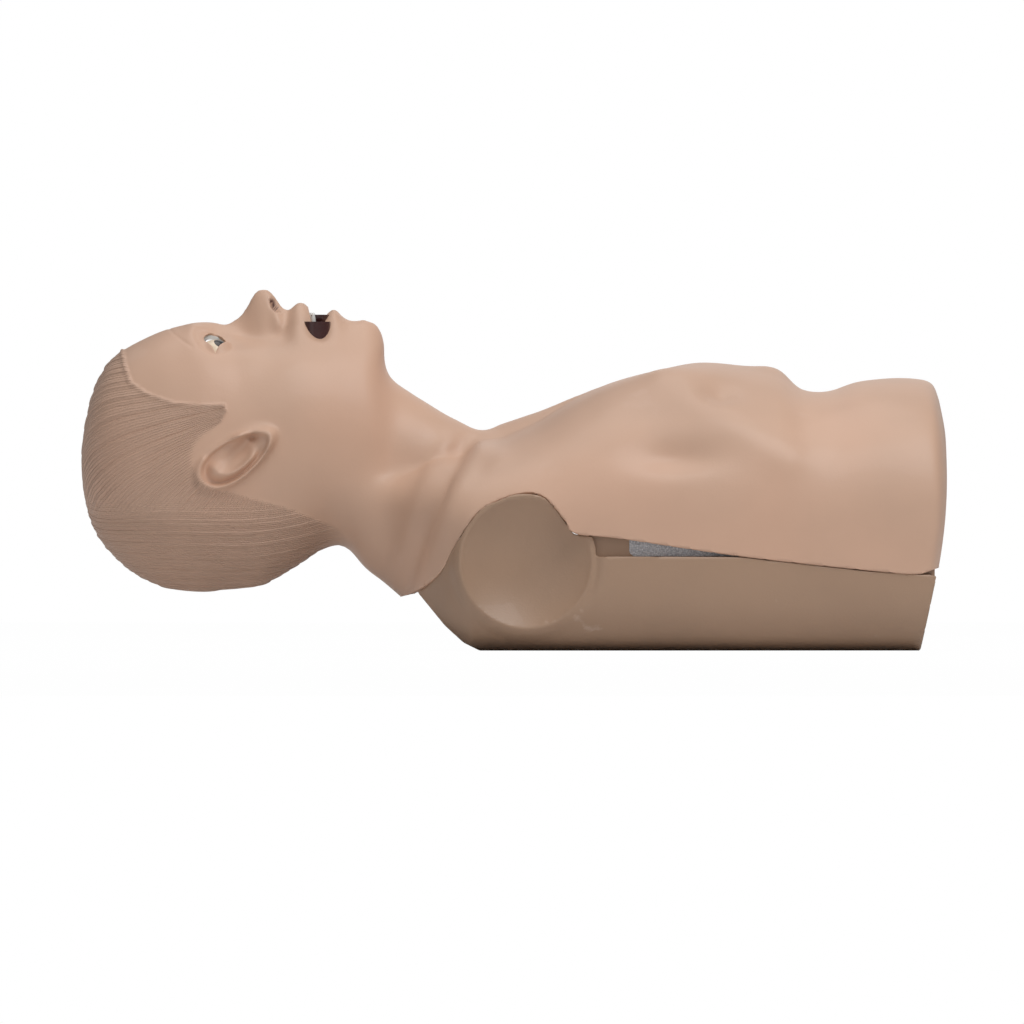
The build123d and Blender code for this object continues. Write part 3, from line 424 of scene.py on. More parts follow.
def head_ring(x, angles):
    """The outline of the head at a place along X, in mm."""
    face, half, side_z, bottom, taper = (column(HEAD_SECTIONS, k, x) for k in range(1, 6))
    across, along = np.abs(np.sin(angles)), np.cos(angles)
    upper = along >= 0
    power = np.where(upper, taper, np.where(taper < 1.2, 0.92, 0.84))
    y = half * across**power
    z_up = side_z + (face - side_z) * np.abs(along) ** 0.88
    z_low = side_z - (side_z - bottom) * np.abs(along) ** 0.94
    z = np.where(upper, z_up, z_low)
    ridge = max(0.0, float(column(PROFILE, 1, x)) - float(face)) if x > PROFILE[0][0] else 0.0
    width = float(column(PROFILE, 2, x))
    z = z + np.where(upper, ridge * np.exp(-((y / width) ** 2.4)), 0.0)
    return np.sign(np.sin(angles)) * y, z


def torso_ring(x, angles, inset):
    """The outline of the neck or torso at a place along X, in mm."""
    row = [float(column(TORSO_SECTIONS, k, x)) for k in range(1, 7)]
    top, neck, shoulder_top, half, side_z, bottom = row
    top, half, bottom = top - inset, half - inset, bottom + inset
    neck = max(1.0, neck - inset)
    shoulder_top = max(side_z + 2.0, shoulder_top - inset)
    level = np.cos(angles)
    upper = level >= 0
    height = np.where(upper, top - side_z, side_z - bottom)
    z = side_z + height * level
    rise = np.clip((z - side_z) / (shoulder_top - side_z), 0, 1)
    shoulder = half * np.where(
        upper, (1 - rise**2.3) ** (1 / 2.3), (1 - np.abs(level) ** 5) ** 0.2
    )
    neck_side = neck * np.where(upper, (1 - np.abs(level) ** 3) ** 0.5, (1 - np.abs(level) ** 3) ** 0.4)
    y = (shoulder**3.2 + neck_side**3.2) ** (1 / 3.2)
    return np.sign(np.sin(angles)) * y, z


def lofted(name, xs, ring):
    """A closed mesh object over rings square to X; ring gives y and z in mm."""
    turns = 220
    angles = (np.arange(turns) + 0.5) * 2 * math.pi / turns
    points = []
    for x in xs:
        y, z = ring(float(x), angles)
        points.append(np.column_stack([np.full(turns, x), y, z]))
    co = np.vstack(points) * MM
    faces = []
    for k in range(len(xs) - 1):
        a, b = k * turns, (k + 1) * turns
        for j in range(turns):
            n = (j + 1) % turns
            faces.append((a + j, a + n, b + n, b + j))
    faces.append(tuple(range(turns - 1, -1, -1)))
    faces.append(tuple(range((len(xs) - 1) * turns, len(xs) * turns)))
    mesh = bpy.data.meshes.new(name)
    mesh.from_pydata(co.tolist(), [], faces)
    obj = bpy.data.objects.new(name, mesh)
    bpy.context.scene.collection.objects.link(obj)
    face_outwards(obj)
    return obj


def object_from(bm, name):
    """A new object in the scene from a bmesh, which is freed."""
    mesh = bpy.data.meshes.new(name)
    bm.to_mesh(mesh)
    bm.free()
    obj = bpy.data.objects.new(name, mesh)
    bpy.context.scene.collection.objects.link(obj)
    return obj


def face_outwards(obj):
    """Turn all faces of a closed mesh outwards."""
    bm = bmesh.new()
    bm.from_mesh(obj.data)
    bmesh.ops.recalc_face_normals(bm, faces=bm.faces)
    bm.to_mesh(obj.data)
    bm.free()


def spheroid(name, centre, radii, turn_deg):
    """A flattened ball turned about Y, in mm."""
    bm = bmesh.new()
    bmesh.ops.create_uvsphere(bm, u_segments=48, v_segments=32, radius=1.0)
    c, s = math.cos(math.radians(turn_deg)), math.sin(math.radians(turn_deg))
    for v in bm.verts:
        u, w, t = v.co.x * radii[0], v.co.z * radii[2], v.co.y * radii[1]
        v.co = Vector((centre[0] + c * u - s * w, centre[1] + t, centre[2] + s * u + c * w)) * MM
    obj = object_from(bm, name)
    face_outwards(obj)
    return obj


def rounded(path, first, last):
    """A path with smooth curves through its points from one place along X to another."""
    out = []
    for k in range(len(path) - 1):
        before, a, b, after = (np.array(path[min(max(k + i, 0), len(path) - 1)]) for i in (-1, 0, 1, 2))
        parts = 6 if first <= path[k][0] < last else 1
        for t in np.arange(parts) / parts:
            bend = (2 * before - 5 * a + 4 * b - after) * t + (3 * a - before - 3 * b + after) * t * t
            out.append(tuple(a + 0.5 * t * ((b - before) + bend)))
    return out + [path[-1]]


def points_of(mesh):
    """The mesh's points in mm."""
    co = np.empty(len(mesh.vertices) * 3)
    mesh.vertices.foreach_get("co", co)
    return co.reshape(-1, 3) / MM


def set_points(mesh, co):
    """Write points given in mm."""
    mesh.vertices.foreach_set("co", (co * MM).ravel())
    mesh.update()


def normals_of(mesh):
    """The mesh's point normals."""
    no = np.empty(len(mesh.vertices) * 3)
    mesh.vertex_normals.foreach_get("vector", no)
    return no.reshape(-1, 3)


def relax(mesh, co, weight, rounds):
    """Even out points towards their neighbours, by a weight for each point."""
    ends = np.empty(len(mesh.edges) * 2, int)
    mesh.edges.foreach_get("vertices", ends)
    a, b = ends.reshape(-1, 2).T
    count = len(co)
    share = np.maximum(np.bincount(np.r_[a, b], minlength=count), 1)[:, None]
    for _ in range(rounds):
        total = np.column_stack(
            [np.bincount(np.r_[a, b], weights=np.r_[co[b, k], co[a, k]], minlength=count) for k in range(3)]
        )
        co = co + weight[:, None] * (total / share - co)
    return co


def side_of_line(co, start, end):
    """Signed distance in the side view from a line, positive to the left of its direction."""
    dx, dz = end[0] - start[0], end[1] - start[1]
    length = math.hypot(dx, dz)
    return ((co[:, 0] - start[0]) * -dz + (co[:, 2] - start[1]) * dx) / length


def distance_to_path(x, z, path):
    """Distance in the side view to an open path of straight runs, and which side it is on."""
    best = np.full(len(x), 1e9)
    side = np.zeros(len(x))
    for (ax, az), (bx, bz) in zip(path, path[1:]):
        dx, dz = bx - ax, bz - az
        t = np.clip(((x - ax) * dx + (z - az) * dz) / (dx * dx + dz * dz), 0, 1)
        px, pz = x - ax - t * dx, z - az - t * dz
        d = np.hypot(px, pz)
        nearer = d < best
        best = np.where(nearer, d, best)
        side = np.where(nearer, dx * pz - dz * px, side)
    return best, side


def keep_where(obj, value):
    """Cut the mesh along the zero line of a value given at each point, and keep what is above it."""
    bm = bmesh.new()
    bm.from_mesh(obj.data)
    bm.verts.ensure_lookup_table()
    level = bm.verts.layers.float.new("level")
    for v, f in zip(bm.verts, value.tolist()):
        v[level] = f if abs(f) > 1e-4 else 1e-4
    fresh = []
    for edge in list(bm.edges):
        a, b = edge.verts
        if a[level] * b[level] < 0:
            t = a[level] / (a[level] - b[level])
            _, vert = bmesh.utils.edge_split(edge, a, t)
            vert[level] = 0.0
            fresh.append(vert)
    bmesh.ops.connect_verts(bm, verts=fresh)
    gone = [f for f in bm.faces if sum(v[level] for v in f.verts) < 0]
    bmesh.ops.delete(bm, geom=gone, context="FACES")
    bm.verts.layers.float.remove(bm.verts.layers.float["level"])
    bm.to_mesh(obj.data)
    bm.free()


def turn_in_edges(obj, chosen, steps, level=False):
    """Grow the chosen open edges inwards.

    Each step gives the depth below the surface and the draw along it, in mm. Level edges go in
    towards the middle plane instead of along the surface's normal, except on an end wall.
    """
    bm = bmesh.new()
    bm.from_mesh(obj.data)
    bm.normal_update()
    edges = [e for e in bm.edges if e.is_boundary and all(chosen(v.co / MM) for v in e.verts)]
    pull = {}
    for e in edges:
        middle = e.link_faces[0].calc_center_median()
        for v in e.verts:
            inward = middle - v.co
            pull[v] = pull.get(v, Vector()) + inward - v.normal * inward.dot(v.normal)
    root = {}
    for v, p in pull.items():
        normal = v.normal.copy()
        if level and abs(normal.x) < 0.7:
            normal = Vector((0, math.copysign(1.0, v.co.y), 0))
        root[v] = (v.co.copy(), normal, p.normalized())
    for depth, draw in steps:
        grown = bmesh.ops.extrude_edge_only(bm, edges=edges)["geom"]
        fresh = {}
        for v in (g for g in grown if isinstance(g, bmesh.types.BMVert)):
            before = [e.other_vert(v) for e in v.link_edges if e.other_vert(v) in root]
            if before:
                fresh[v] = root[before[0]]
        for v, (co, normal, inward) in fresh.items():
            v.co = co - normal * depth * MM + inward * draw * MM
        edges = [g for g in grown if isinstance(g, bmesh.types.BMEdge) and all(v in fresh for v in g.verts)]
        root = fresh
    bm.normal_update()
    bm.to_mesh(obj.data)
    bm.free()


def remeshed(objs, voxel, name):
    """One closed mesh over several closed ones."""
    bm = bmesh.new()
    for obj in objs:
        bm.from_mesh(obj.data)
    whole = object_from(bm, name)
    for obj in objs:
        bpy.data.objects.remove(obj)
    change = whole.modifiers.new("Remesh", "REMESH")
    change.mode = "VOXEL"
    change.voxel_size = voxel
    return made_plain(whole)


def made_plain(obj):
    """Replace an object's modifiers by their result."""
    graph = bpy.context.evaluated_depsgraph_get()
    mesh = bpy.data.meshes.new_from_object(obj.evaluated_get(graph))
    obj.modifiers.clear()
    obj.data = mesh
    return obj


def smooth_shaded(obj):
    """Shade all faces smooth."""
    obj.data.polygons.foreach_set("use_smooth", [True] * len(obj.data.polygons))
    obj.data.update()


def mouth_reach(x, y):
    """1 on the edge of the lips' opening, and less within it."""
    return np.sqrt(((x - MOUTH[0]) / MOUTH_GAP) ** 2 + (y / MOUTH_HALF_WIDTH) ** 2)


def ear_reach(x, z):
    """Distance in the side view from the middle of the ear, counted longer along Z."""
    return np.hypot(x - EAR[0], (z - EAR[1]) * 1.3)


def nostril_slit(co):
    """1 inside the nostrils as seen from the side, 0 away from them."""
    x, y, z = co.T
    dx, dz = x + 188.0, z - 268.7
    along, across = dx * 0.47 - dz * 0.88, dx * 0.88 + dz * 0.47
    reach = np.hypot(along / 5.6, across / 1.5)
    return smooth_step((1.25 - reach) / 0.5) * (np.abs(y) > 3)


def press_face(co, no):
    """Press the eye hollows, lids, nose, lips and chin into the head. Points and result in mm."""
    x, y, z = co.T
    side = np.abs(y)
    up = smooth_step((no[:, 2] + 0.1) / 0.5) * smooth_step((z - 185) / 25)
    ex, ey, ez = EYE
    z = z + mounds(FACE_MOUNDS, x, side) * up
    ball = EYE_R + LID_OVER
    reach = np.hypot(x - ex, side - ey)
    lid = ez + np.sqrt(np.maximum(ball**2 - reach**2, 0.0))
    soft = 0.5 * (z + lid + np.sqrt((z - lid) ** 2 + 1.2))
    near = smooth_step((ball + 1.0 - reach) / 4.0) * up
    z = z + (soft - z) * near * (z < lid + 6)
    crease = reach - LID_FOLD_R
    z = z - 1.1 * hill(crease, 1.6) * up * smooth_step((ex + 4 - x) / 6)
    wing = hill(x + 184.5, 5.0) * hill(side - 12.5, 4.2) * smooth_step((z - 247) / 6)
    y = y + np.sign(y) * 3.2 * wing
    groove = hill(x + 186, 7.5) * hill(side - 19, 2.6) * up
    z = z - 1.8 * groove
    y = y - np.sign(y) * 2.4 * nostril_slit(np.column_stack([x, y, z]))
    nostril = np.sqrt(((x + 185.6) / 3.6) ** 2 + ((np.abs(y) - 6.2) / 3.0) ** 2)
    hole = smooth_step((1.25 - nostril) / 0.7) * smooth_step((z - 258) / 5)
    z = z - 6.5 * hole
    x = x - 4.0 * hole
    return np.column_stack([x, y, z])


def press_ears(co, no):
    """Press the rim, the inner ridge, the bowl and the canal into the ears."""
    x, y, z = co.T
    c, s = math.cos(math.radians(EAR_TURN)), math.sin(math.radians(EAR_TURN))
    dx, dz = x - EAR[0], z - EAR[1]
    u, v = dx * c + dz * s, -dx * s + dz * c
    out = smooth_step((np.abs(y) - 66) / 5) * smooth_step((no[:, 1] * np.sign(y) + 0.1) / 0.5)
    wide = EAR_SHORT * (1 - 0.26 * np.clip(u / EAR_LONG, -1, 1))
    rho = np.sqrt((u / EAR_LONG) ** 2 + (v / wide) ** 2)
    angle = np.arctan2(v / wide, u / EAR_LONG)
    back = smooth_step((0.8 - np.sin(angle) * smooth_step((u + 28) / 14)) / 0.6)
    rim = 3.6 * hill(rho - 0.88, 0.10) * (0.15 + 0.85 * back)
    well = -5.0 * smooth_step((0.84 - rho) / 0.12)
    ridge = 5.2 * hill(rho - 0.50, 0.15) * back * smooth_step((20 - u) / 10)
    small = mounds(EAR_MOUNDS, u, v)
    lift = (rim + well + ridge + small) * smooth_step((1.12 - rho) / 0.14)
    y = y + np.sign(y) * lift * out
    return np.column_stack([x, y, z])


def hair_fields(co):
    """Each point's share of hair, its way in from the hairline, and the two values that strands keep."""
    x, y, z = co.T
    d, side = distance_to_path(x, z, HAIRLINE)
    inside = np.where(side < 0, d, -d)
    inside = np.where(x < -312, np.maximum(inside, 8.0), inside)
    hair = smooth_step(inside / 2.4 + 0.5)
    fade = smooth_step((-132 - x) / 26 + 0.25)
    fan = np.arctan2(z - 204, x + 168)
    fan = np.where(fan < 0, fan + 2 * math.pi, fan) * 96.0 + np.abs(y) * 0.22
    flat = (z - 0.1 * (x + 240)) + 5.0 * np.sin((x + 240) / 34.0) + np.abs(y) * 0.22
    low = smooth_step((128 - z) / 36)
    return hair * fade, inside, fan, flat, low


def press_hair(co, no, depth):
    """Raise the hair with its edge and its coarse locks."""
    hair, inside, fan, flat, low = hair_fields(co)
    ridge = 0.8 * hill(inside - 1.6, 1.6) * (co[:, 2] > 172)
    wave = 0.0
    for stream, share in ((fan, 1 - low), (flat, low)):
        turn = stream * 2 * math.pi
        locks = sum(height * np.sin(turn / length + start) for height, length, start in HAIR_WAVES)
        fine = 0.7 * np.sin(turn / 3.5 + 0.5 * np.sin(co[:, 0] / 9.0))
        wave = wave + share * (locks + fine)
    lift = hair * (0.5 + wave * depth / MM) + ridge
    lift = lift * smooth_step((ear_reach(co[:, 0], co[:, 2]) - 38) / 10 + 0.4)
    seam = np.abs(np.hypot(co[:, 0] + 243, np.abs(co[:, 1]) * 0.55) - 26.5)
    arc = (co[:, 0] < -250) & (co[:, 2] > 232)
    lift = lift - 0.45 * hill(seam, 0.9) * arc
    return co + no * lift[:, None]


def press_chest(co, no):
    """Raise the chest muscles and the edge of the ribs, and press the hollows of belly and neck."""
    x, y, z = co.T
    side = np.abs(y)
    lift = mounds(CHEST_MOUNDS, x, side) + mounds([WAIST_MOUND], x, z)
    for start, row in FLANK_MOUNDS:
        lift += mounds([row], x, z) * smooth_step((side - start) / 30)
    d, _ = distance_to_path(x, z, RIB_EDGE)
    lift += 2.4 * hill(d, 17.0) * smooth_step((side - 45) / 40)
    breastbone = smooth_step((x - 60) / 40) * smooth_step((190 - x) / 40)
    lift += -1.6 * hill(y, 7.0) * breastbone
    d, _ = distance_to_path(x, side, COLLARBONE)
    lift += 1.2 * hill(d, 12.0) * smooth_step((z - 130) / 20)
    d, _ = distance_to_path(x, z, NECK_FOLD)
    fold = -2.6 * hill(d, 7.0) + 1.4 * hill(d - 13, 7.0)
    lift += fold * smooth_step((side - 20) / 30)
    co = co + no * (CHEST_RELIEF * lift * smooth_step((x + 100) / 30))[:, None]
    end = smooth_step((x - 296) / 40)
    co[:, 0] -= end * (7.0 * np.clip((142 - z) / 76, 0, 1) ** 2 + 1.5 * hill(z - 200, 20.0))
    return co


class Value:
    """A shader socket that can be reckoned with."""

    def __init__(self, tree, socket):
        self.tree = tree
        self.socket = socket

    def node(self, kind, settings=None, **values):
        """A new node; a value goes to the input of its name, or i and a number to that input."""
        made = self.tree.nodes.new(kind)
        for key, setting in (settings or {}).items():
            setattr(made, key, setting)
        for key, value in values.items():
            numbered = key[0] == "i" and key[1:].isdigit()
            socket = made.inputs[int(key[1:]) if numbered else key]
            if isinstance(value, Value):
                self.tree.links.new(value.socket, socket)
            else:
                socket.default_value = value
        return made

    def out(self, kind, settings=None, result=0, **values):
        """One output of a new node."""
        return Value(self.tree, self.node(kind, settings, **values).outputs[result])

    def maths(self, operation, other=0.0, third=0.0):
        """The result of one sum on this value."""
        return self.out("ShaderNodeMath", {"operation": operation}, i0=self, i1=other, i2=third)

    def __add__(self, other):
        return self.maths("ADD", other)

    __radd__ = __add__

    def __mul__(self, other):
        return self.maths("MULTIPLY", other)

    __rmul__ = __mul__

    def __sub__(self, other):
        return self.maths("SUBTRACT", other)

    def __rsub__(self, other):
        return self.out("ShaderNodeMath", {"operation": "SUBTRACT"}, i0=other, i1=self)

    def between(self, low, high):
        """0 below low and 1 above high, smoothly."""
        smooth = {"interpolation_type": "SMOOTHSTEP"}
        return self.out("ShaderNodeMapRange", smooth, i0=self, i1=low, i2=high, i3=0.0, i4=1.0)

    def mixed(self, first, second):
        """Two colours mixed by this factor."""
        first = first if isinstance(first, Value) else (*first, 1.0)
        second = second if isinstance(second, Value) else (*second, 1.0)
        made = self.node("ShaderNodeMix", {"data_type": "RGBA"}, i0=self, i6=first, i7=second)
        return Value(self.tree, made.outputs[2])


def finish_of(name, colour, roughness, bump, metallic=0.0, coat=0.0, spread=0.06, scale=60.0, extra=None):
    """A material whose colour, roughness and grain vary. extra changes its colour, roughness and height."""
    material = bpy.data.materials.new(name)
    material.use_nodes = True
    tree = material.node_tree
    shader = tree.nodes["Principled BSDF"]
    shader.inputs["Metallic"].default_value = metallic
    shader.inputs["Coat Weight"].default_value = coat
    place = Value(tree, tree.nodes.new("ShaderNodeTexCoord").outputs["Object"])
    broad = place.out("ShaderNodeTexNoise", i2=scale * 0.12, i3=3.0, Vector=place)
    fine = place.out("ShaderNodeTexNoise", i2=scale * 9.0, i3=4.0, Vector=place)
    dark = tuple(c * (1 - spread) for c in colour)
    light = tuple(min(1.0, c * (1 + spread)) for c in colour)
    tint = broad.between(0.3, 0.7).mixed(dark, light)
    rough = fine * 0.08 + (roughness - 0.04)
    height = fine
    if extra:
        tint, rough, height = extra(place, tint, rough, height)
    made = place.node("ShaderNodeBump", None, Strength=1.0, Distance=bump, Height=height)
    tree.links.new(tint.socket, shader.inputs["Base Color"])
    tree.links.new(rough.socket, shader.inputs["Roughness"])
    tree.links.new(made.outputs[0], shader.inputs["Normal"])
    return material


def vinyl_extra(place, tint, rough, height):
    """Blotches, rubbed marks, the fine strands of the hair with painted shade in their grooves, and painted
    shade inside the lips and nostrils.
    """
    hair = place.out("ShaderNodeAttribute", {"attribute_name": "hair"}, result=2)
    jitter = place.out("ShaderNodeTexNoise", i2=55.0, i3=2.0, Vector=place) * 7.0
    wave = 0.0
    for name, flip in (("fan", True), ("flat", False)):
        strand = place.out("ShaderNodeAttribute", {"attribute_name": name}, result=2)
        low = place.out("ShaderNodeAttribute", {"attribute_name": "low"}, result=2)
        share = 1 - low if flip else low
        wave = (strand * (2 * math.pi / 1.7) + jitter).maths("SINE") * share + wave
    tint = (hair * 0.35).mixed(tint, (0.500, 0.330, 0.245))
    # Painted shade: the hair is coloured darker in the grooves between its strands, where shade would fall.
    groove = hair * (0.5 - wave * 0.5)
    tint = (groove * 0.15).mixed(tint, (0.330, 0.185, 0.130))
    mark = place.out("ShaderNodeTexNoise", i2=22.0, i3=6.0, Vector=place).between(0.64, 0.74)
    tint = (mark * 0.12).mixed(tint, (0.74, 0.54, 0.44))
    blush = place.out("ShaderNodeTexNoise", i2=7.0, i3=1.0, Vector=place).between(0.45, 0.75)
    tint = (blush * 0.16).mixed(tint, (0.62, 0.31, 0.20))
    # Painted shade: the turned-in lips and the nostrils are coloured near-black red for the shade inside the
    # mouth and nose.
    inner = place.out("ShaderNodeAttribute", {"attribute_name": "inner"}, result=2)
    tint = inner.mixed(tint, (0.060, 0.014, 0.012))
    return tint, rough + hair * 0.05, height * 0.35 + hair * wave * 1.1


def base_extra(place, tint, rough, height):
    """Pale rubbed patches and small nicks on the base."""
    mark = place.out("ShaderNodeTexNoise", i2=34.0, i3=8.0, Vector=place).between(0.66, 0.72)
    tint = (mark * 0.30).mixed(tint, (0.66, 0.50, 0.41))
    return tint, rough, height


def weave_extra(place, tint, rough, height):
    """Loops of a hook-and-loop tape, lighter on their tops with painted shade between them."""
    dots = place.out("ShaderNodeTexVoronoi", i2=700.0, Vector=place)
    # Painted shade: the grey is darker in the gaps between the loops and lighter on their tops.
    tint = dots.between(0.1, 0.7).mixed((0.70, 0.70, 0.72), (0.46, 0.46, 0.48))
    return tint, rough, 1 - dots


def iris_extra(place, tint, rough, height):
    """A dark iris and pupil about the axis of sight, and a painted shadow under the upper lid on the side
    towards the brow.
    """
    parts = place.node("ShaderNodeSeparateXYZ", None, i0=place)
    x, y, z = (Value(place.tree, parts.outputs[k]) for k in range(3))
    away = (x - IRIS[0] * MM, y.maths("ABSOLUTE") - IRIS[1] * MM, z - IRIS[2] * MM)
    reach = (away[0] * away[0] + away[1] * away[1] + away[2] * away[2]).maths("SQRT") * (1 / MM)
    tint = (1 - reach.between(IRIS_R - 0.3, IRIS_R + 0.3)).mixed(tint, (0.030, 0.020, 0.015))
    tint = (1 - reach.between(PUPIL_R - 0.2, PUPIL_R + 0.2)).mixed(tint, (0.004, 0.004, 0.004))
    # Painted shadow: the eyeball is coloured dark brown on its brow side, where the upper lid would shade
    # it.
    painted_lid_shadow = x.between((EYE[0] - 14) * MM, (EYE[0] - 7) * MM)
    tint = painted_lid_shadow.mixed((0.10, 0.045, 0.030), tint)
    return tint, rough, height * 0.1


# Colour, or none where the panel gives it, roughness, depth of the grain in metres, and the rest
FINISHES = {
    "skin_vinyl": (None, 0.50, 0.00022, {"coat": 0.05, "extra": vinyl_extra}),
    "base_plastic": (None, 0.46, 0.00010, {"coat": 0.08, "extra": base_extra}),
    "hook_strip": ((0.6, 0.6, 0.62), 0.8, 0.0006, {"extra": weave_extra}),
    "steel": ((0.55, 0.55, 0.56), 0.32, 0.00002, {"metallic": 1.0}),
    "spring_steel": ((0.20, 0.20, 0.21), 0.38, 0.00003, {"metallic": 1.0}),
    "white_plastic": ((0.78, 0.78, 0.76), 0.42, 0.00005, {}),
    "grey_plastic": ((0.32, 0.33, 0.34), 0.48, 0.00006, {}),
    "lung_film": ((0.70, 0.72, 0.74), 0.25, 0.0005, {"coat": 0.3}),
    "tube_plastic": ((0.66, 0.68, 0.70), 0.22, 0.00003, {"coat": 0.2}),
    "eye_white": ((0.86, 0.70, 0.52), 0.24, 0.00001, {"coat": 0.1, "spread": 0.03, "extra": iris_extra}),
    "mouth_red": ((0.050, 0.010, 0.009), 0.30, 0.0003, {"coat": 0.3, "spread": 0.2}),
    "tooth_white": ((0.78, 0.76, 0.72), 0.14, 0.00002, {"coat": 0.6, "spread": 0.04}),
}
FINISH = {}


def make_finishes():
    """Make all materials, kept by name."""
    sizes = bpy.context.scene.manikin_skin
    chosen = {"skin_vinyl": tuple(sizes.colour), "base_plastic": tuple(sizes.base_colour)}
    for name, (colour, roughness, bump, rest) in FINISHES.items():
        FINISH[name] = finish_of(name, chosen.get(name, colour), roughness, bump, **rest)


def dress(obj, name):
    """Give an object one material."""
    obj.data.materials.clear()
    obj.data.materials.append(FINISH[name])


def add_fields(obj):
    """Store the hair fields, and the mask of painted shade inside the lips and nostrils, on the mesh for the
    skin's material.
    """
    co = points_of(obj.data)
    x, y, z = co.T
    hair, _, fan, flat, low = hair_fields(co)
    hair = hair * (x < -118) * smooth_step((ear_reach(x, z) - 34) / 8 + 0.4)
    # Mask of painted shade: the turned-in lips and the nostrils, coloured near-black red by the skin
    # material.
    inner = smooth_step((0.97 - mouth_reach(x, y)) / 0.12) * (z > FACE_Z)
    inner = np.maximum(inner, nostril_slit(co))
    for name, value in (("hair", hair), ("fan", fan), ("flat", flat), ("low", low), ("inner", inner)):
        made = obj.data.attributes.new(name, "FLOAT", "POINT")
        made.data.foreach_set("value", value.astype(np.float32))


def whole_skin(sizes):
    """The head, ears, neck and torso as one closed smooth mesh."""
    crown_x, face_x = np.arange(-335, -232, 2.0), np.arange(-232, -101.6, 1.2)
    head_x = np.r_[-337.4, -337.2, -337.0, -336.2, crown_x, face_x, -101.6]
    torso_x = np.r_[np.arange(-131, 330, 3.0), 330, 333, 335, 336.3, 336.6]
    head = lofted("head_form", head_x, head_ring)
    torso = lofted("torso_form", torso_x, lambda x, angles: torso_ring(x, angles, 0.0))
    radii = (EAR_LONG, EAR_HALF_THICKNESS, EAR_SHORT)
    ears = [spheroid("ear_form", (EAR[0], side * EAR_Y, EAR[1]), radii, EAR_TURN) for side in (-1, 1)]
    skin = remeshed([head, torso, *ears], sizes.voxel, "skin")
    co = points_of(skin.data)
    co = relax(skin.data, co, np.full(len(co), 0.5), 4)
    jaw = hill(side_of_line(co, (-101.0, 214.0), (-132.0, 86.0)), 20.0)
    co = relax(skin.data, co, 0.5 * jaw * smooth_step((238 - co[:, 2]) / 30), 110)
    crown = smooth_step((-325 - co[:, 0]) / 8)
    co = relax(skin.data, co, 0.5 * crown, 20)
    set_points(skin.data, co)
    co = press_chest(co, normals_of(skin.data))
    set_points(skin.data, co)
    return skin


def seam_value(co):
    """Above zero on the head's side of the fold at the base of the neck."""
    return side_of_line(co, SEAM_TIP, SEAM_TOP)


def hem_value(co):
    """Above zero where the skin is kept, over its lower edge."""
    d, side = distance_to_path(co[:, 0], co[:, 2], rounded(SKIN_HEM, -89.0, 300.0))
    return np.where(side > 0, d, -d)


def split_skin(skin):
    """Cut the skin along its lower edge, then at the base of the neck, into head and chest."""
    keep_where(skin, hem_value(points_of(skin.data)))
    chest = skin.copy()
    chest.data = skin.data.copy()
    bpy.context.scene.collection.objects.link(chest)
    keep_where(skin, seam_value(points_of(skin.data)))
    keep_where(chest, -seam_value(points_of(chest.data)))
    skin.name, chest.name = "head_and_neck", "chest_cover"
    return skin, chest


def match_normals(obj, tree, normals):
    """Give the points at the seam the normals of the uncut skin."""
    co, own = points_of(obj.data), normals_of(obj.data)
    near = np.abs(seam_value(co)) < 0.02
    for k in np.nonzero(near)[0]:
        total = Vector()
        for _, index, distance in tree.find_n(co[k], 3):
            total += Vector(normals[index]) / (distance + 0.05)
        own[k] = total.normalized()
    obj.data.normals_split_custom_set_from_vertices(own.tolist())


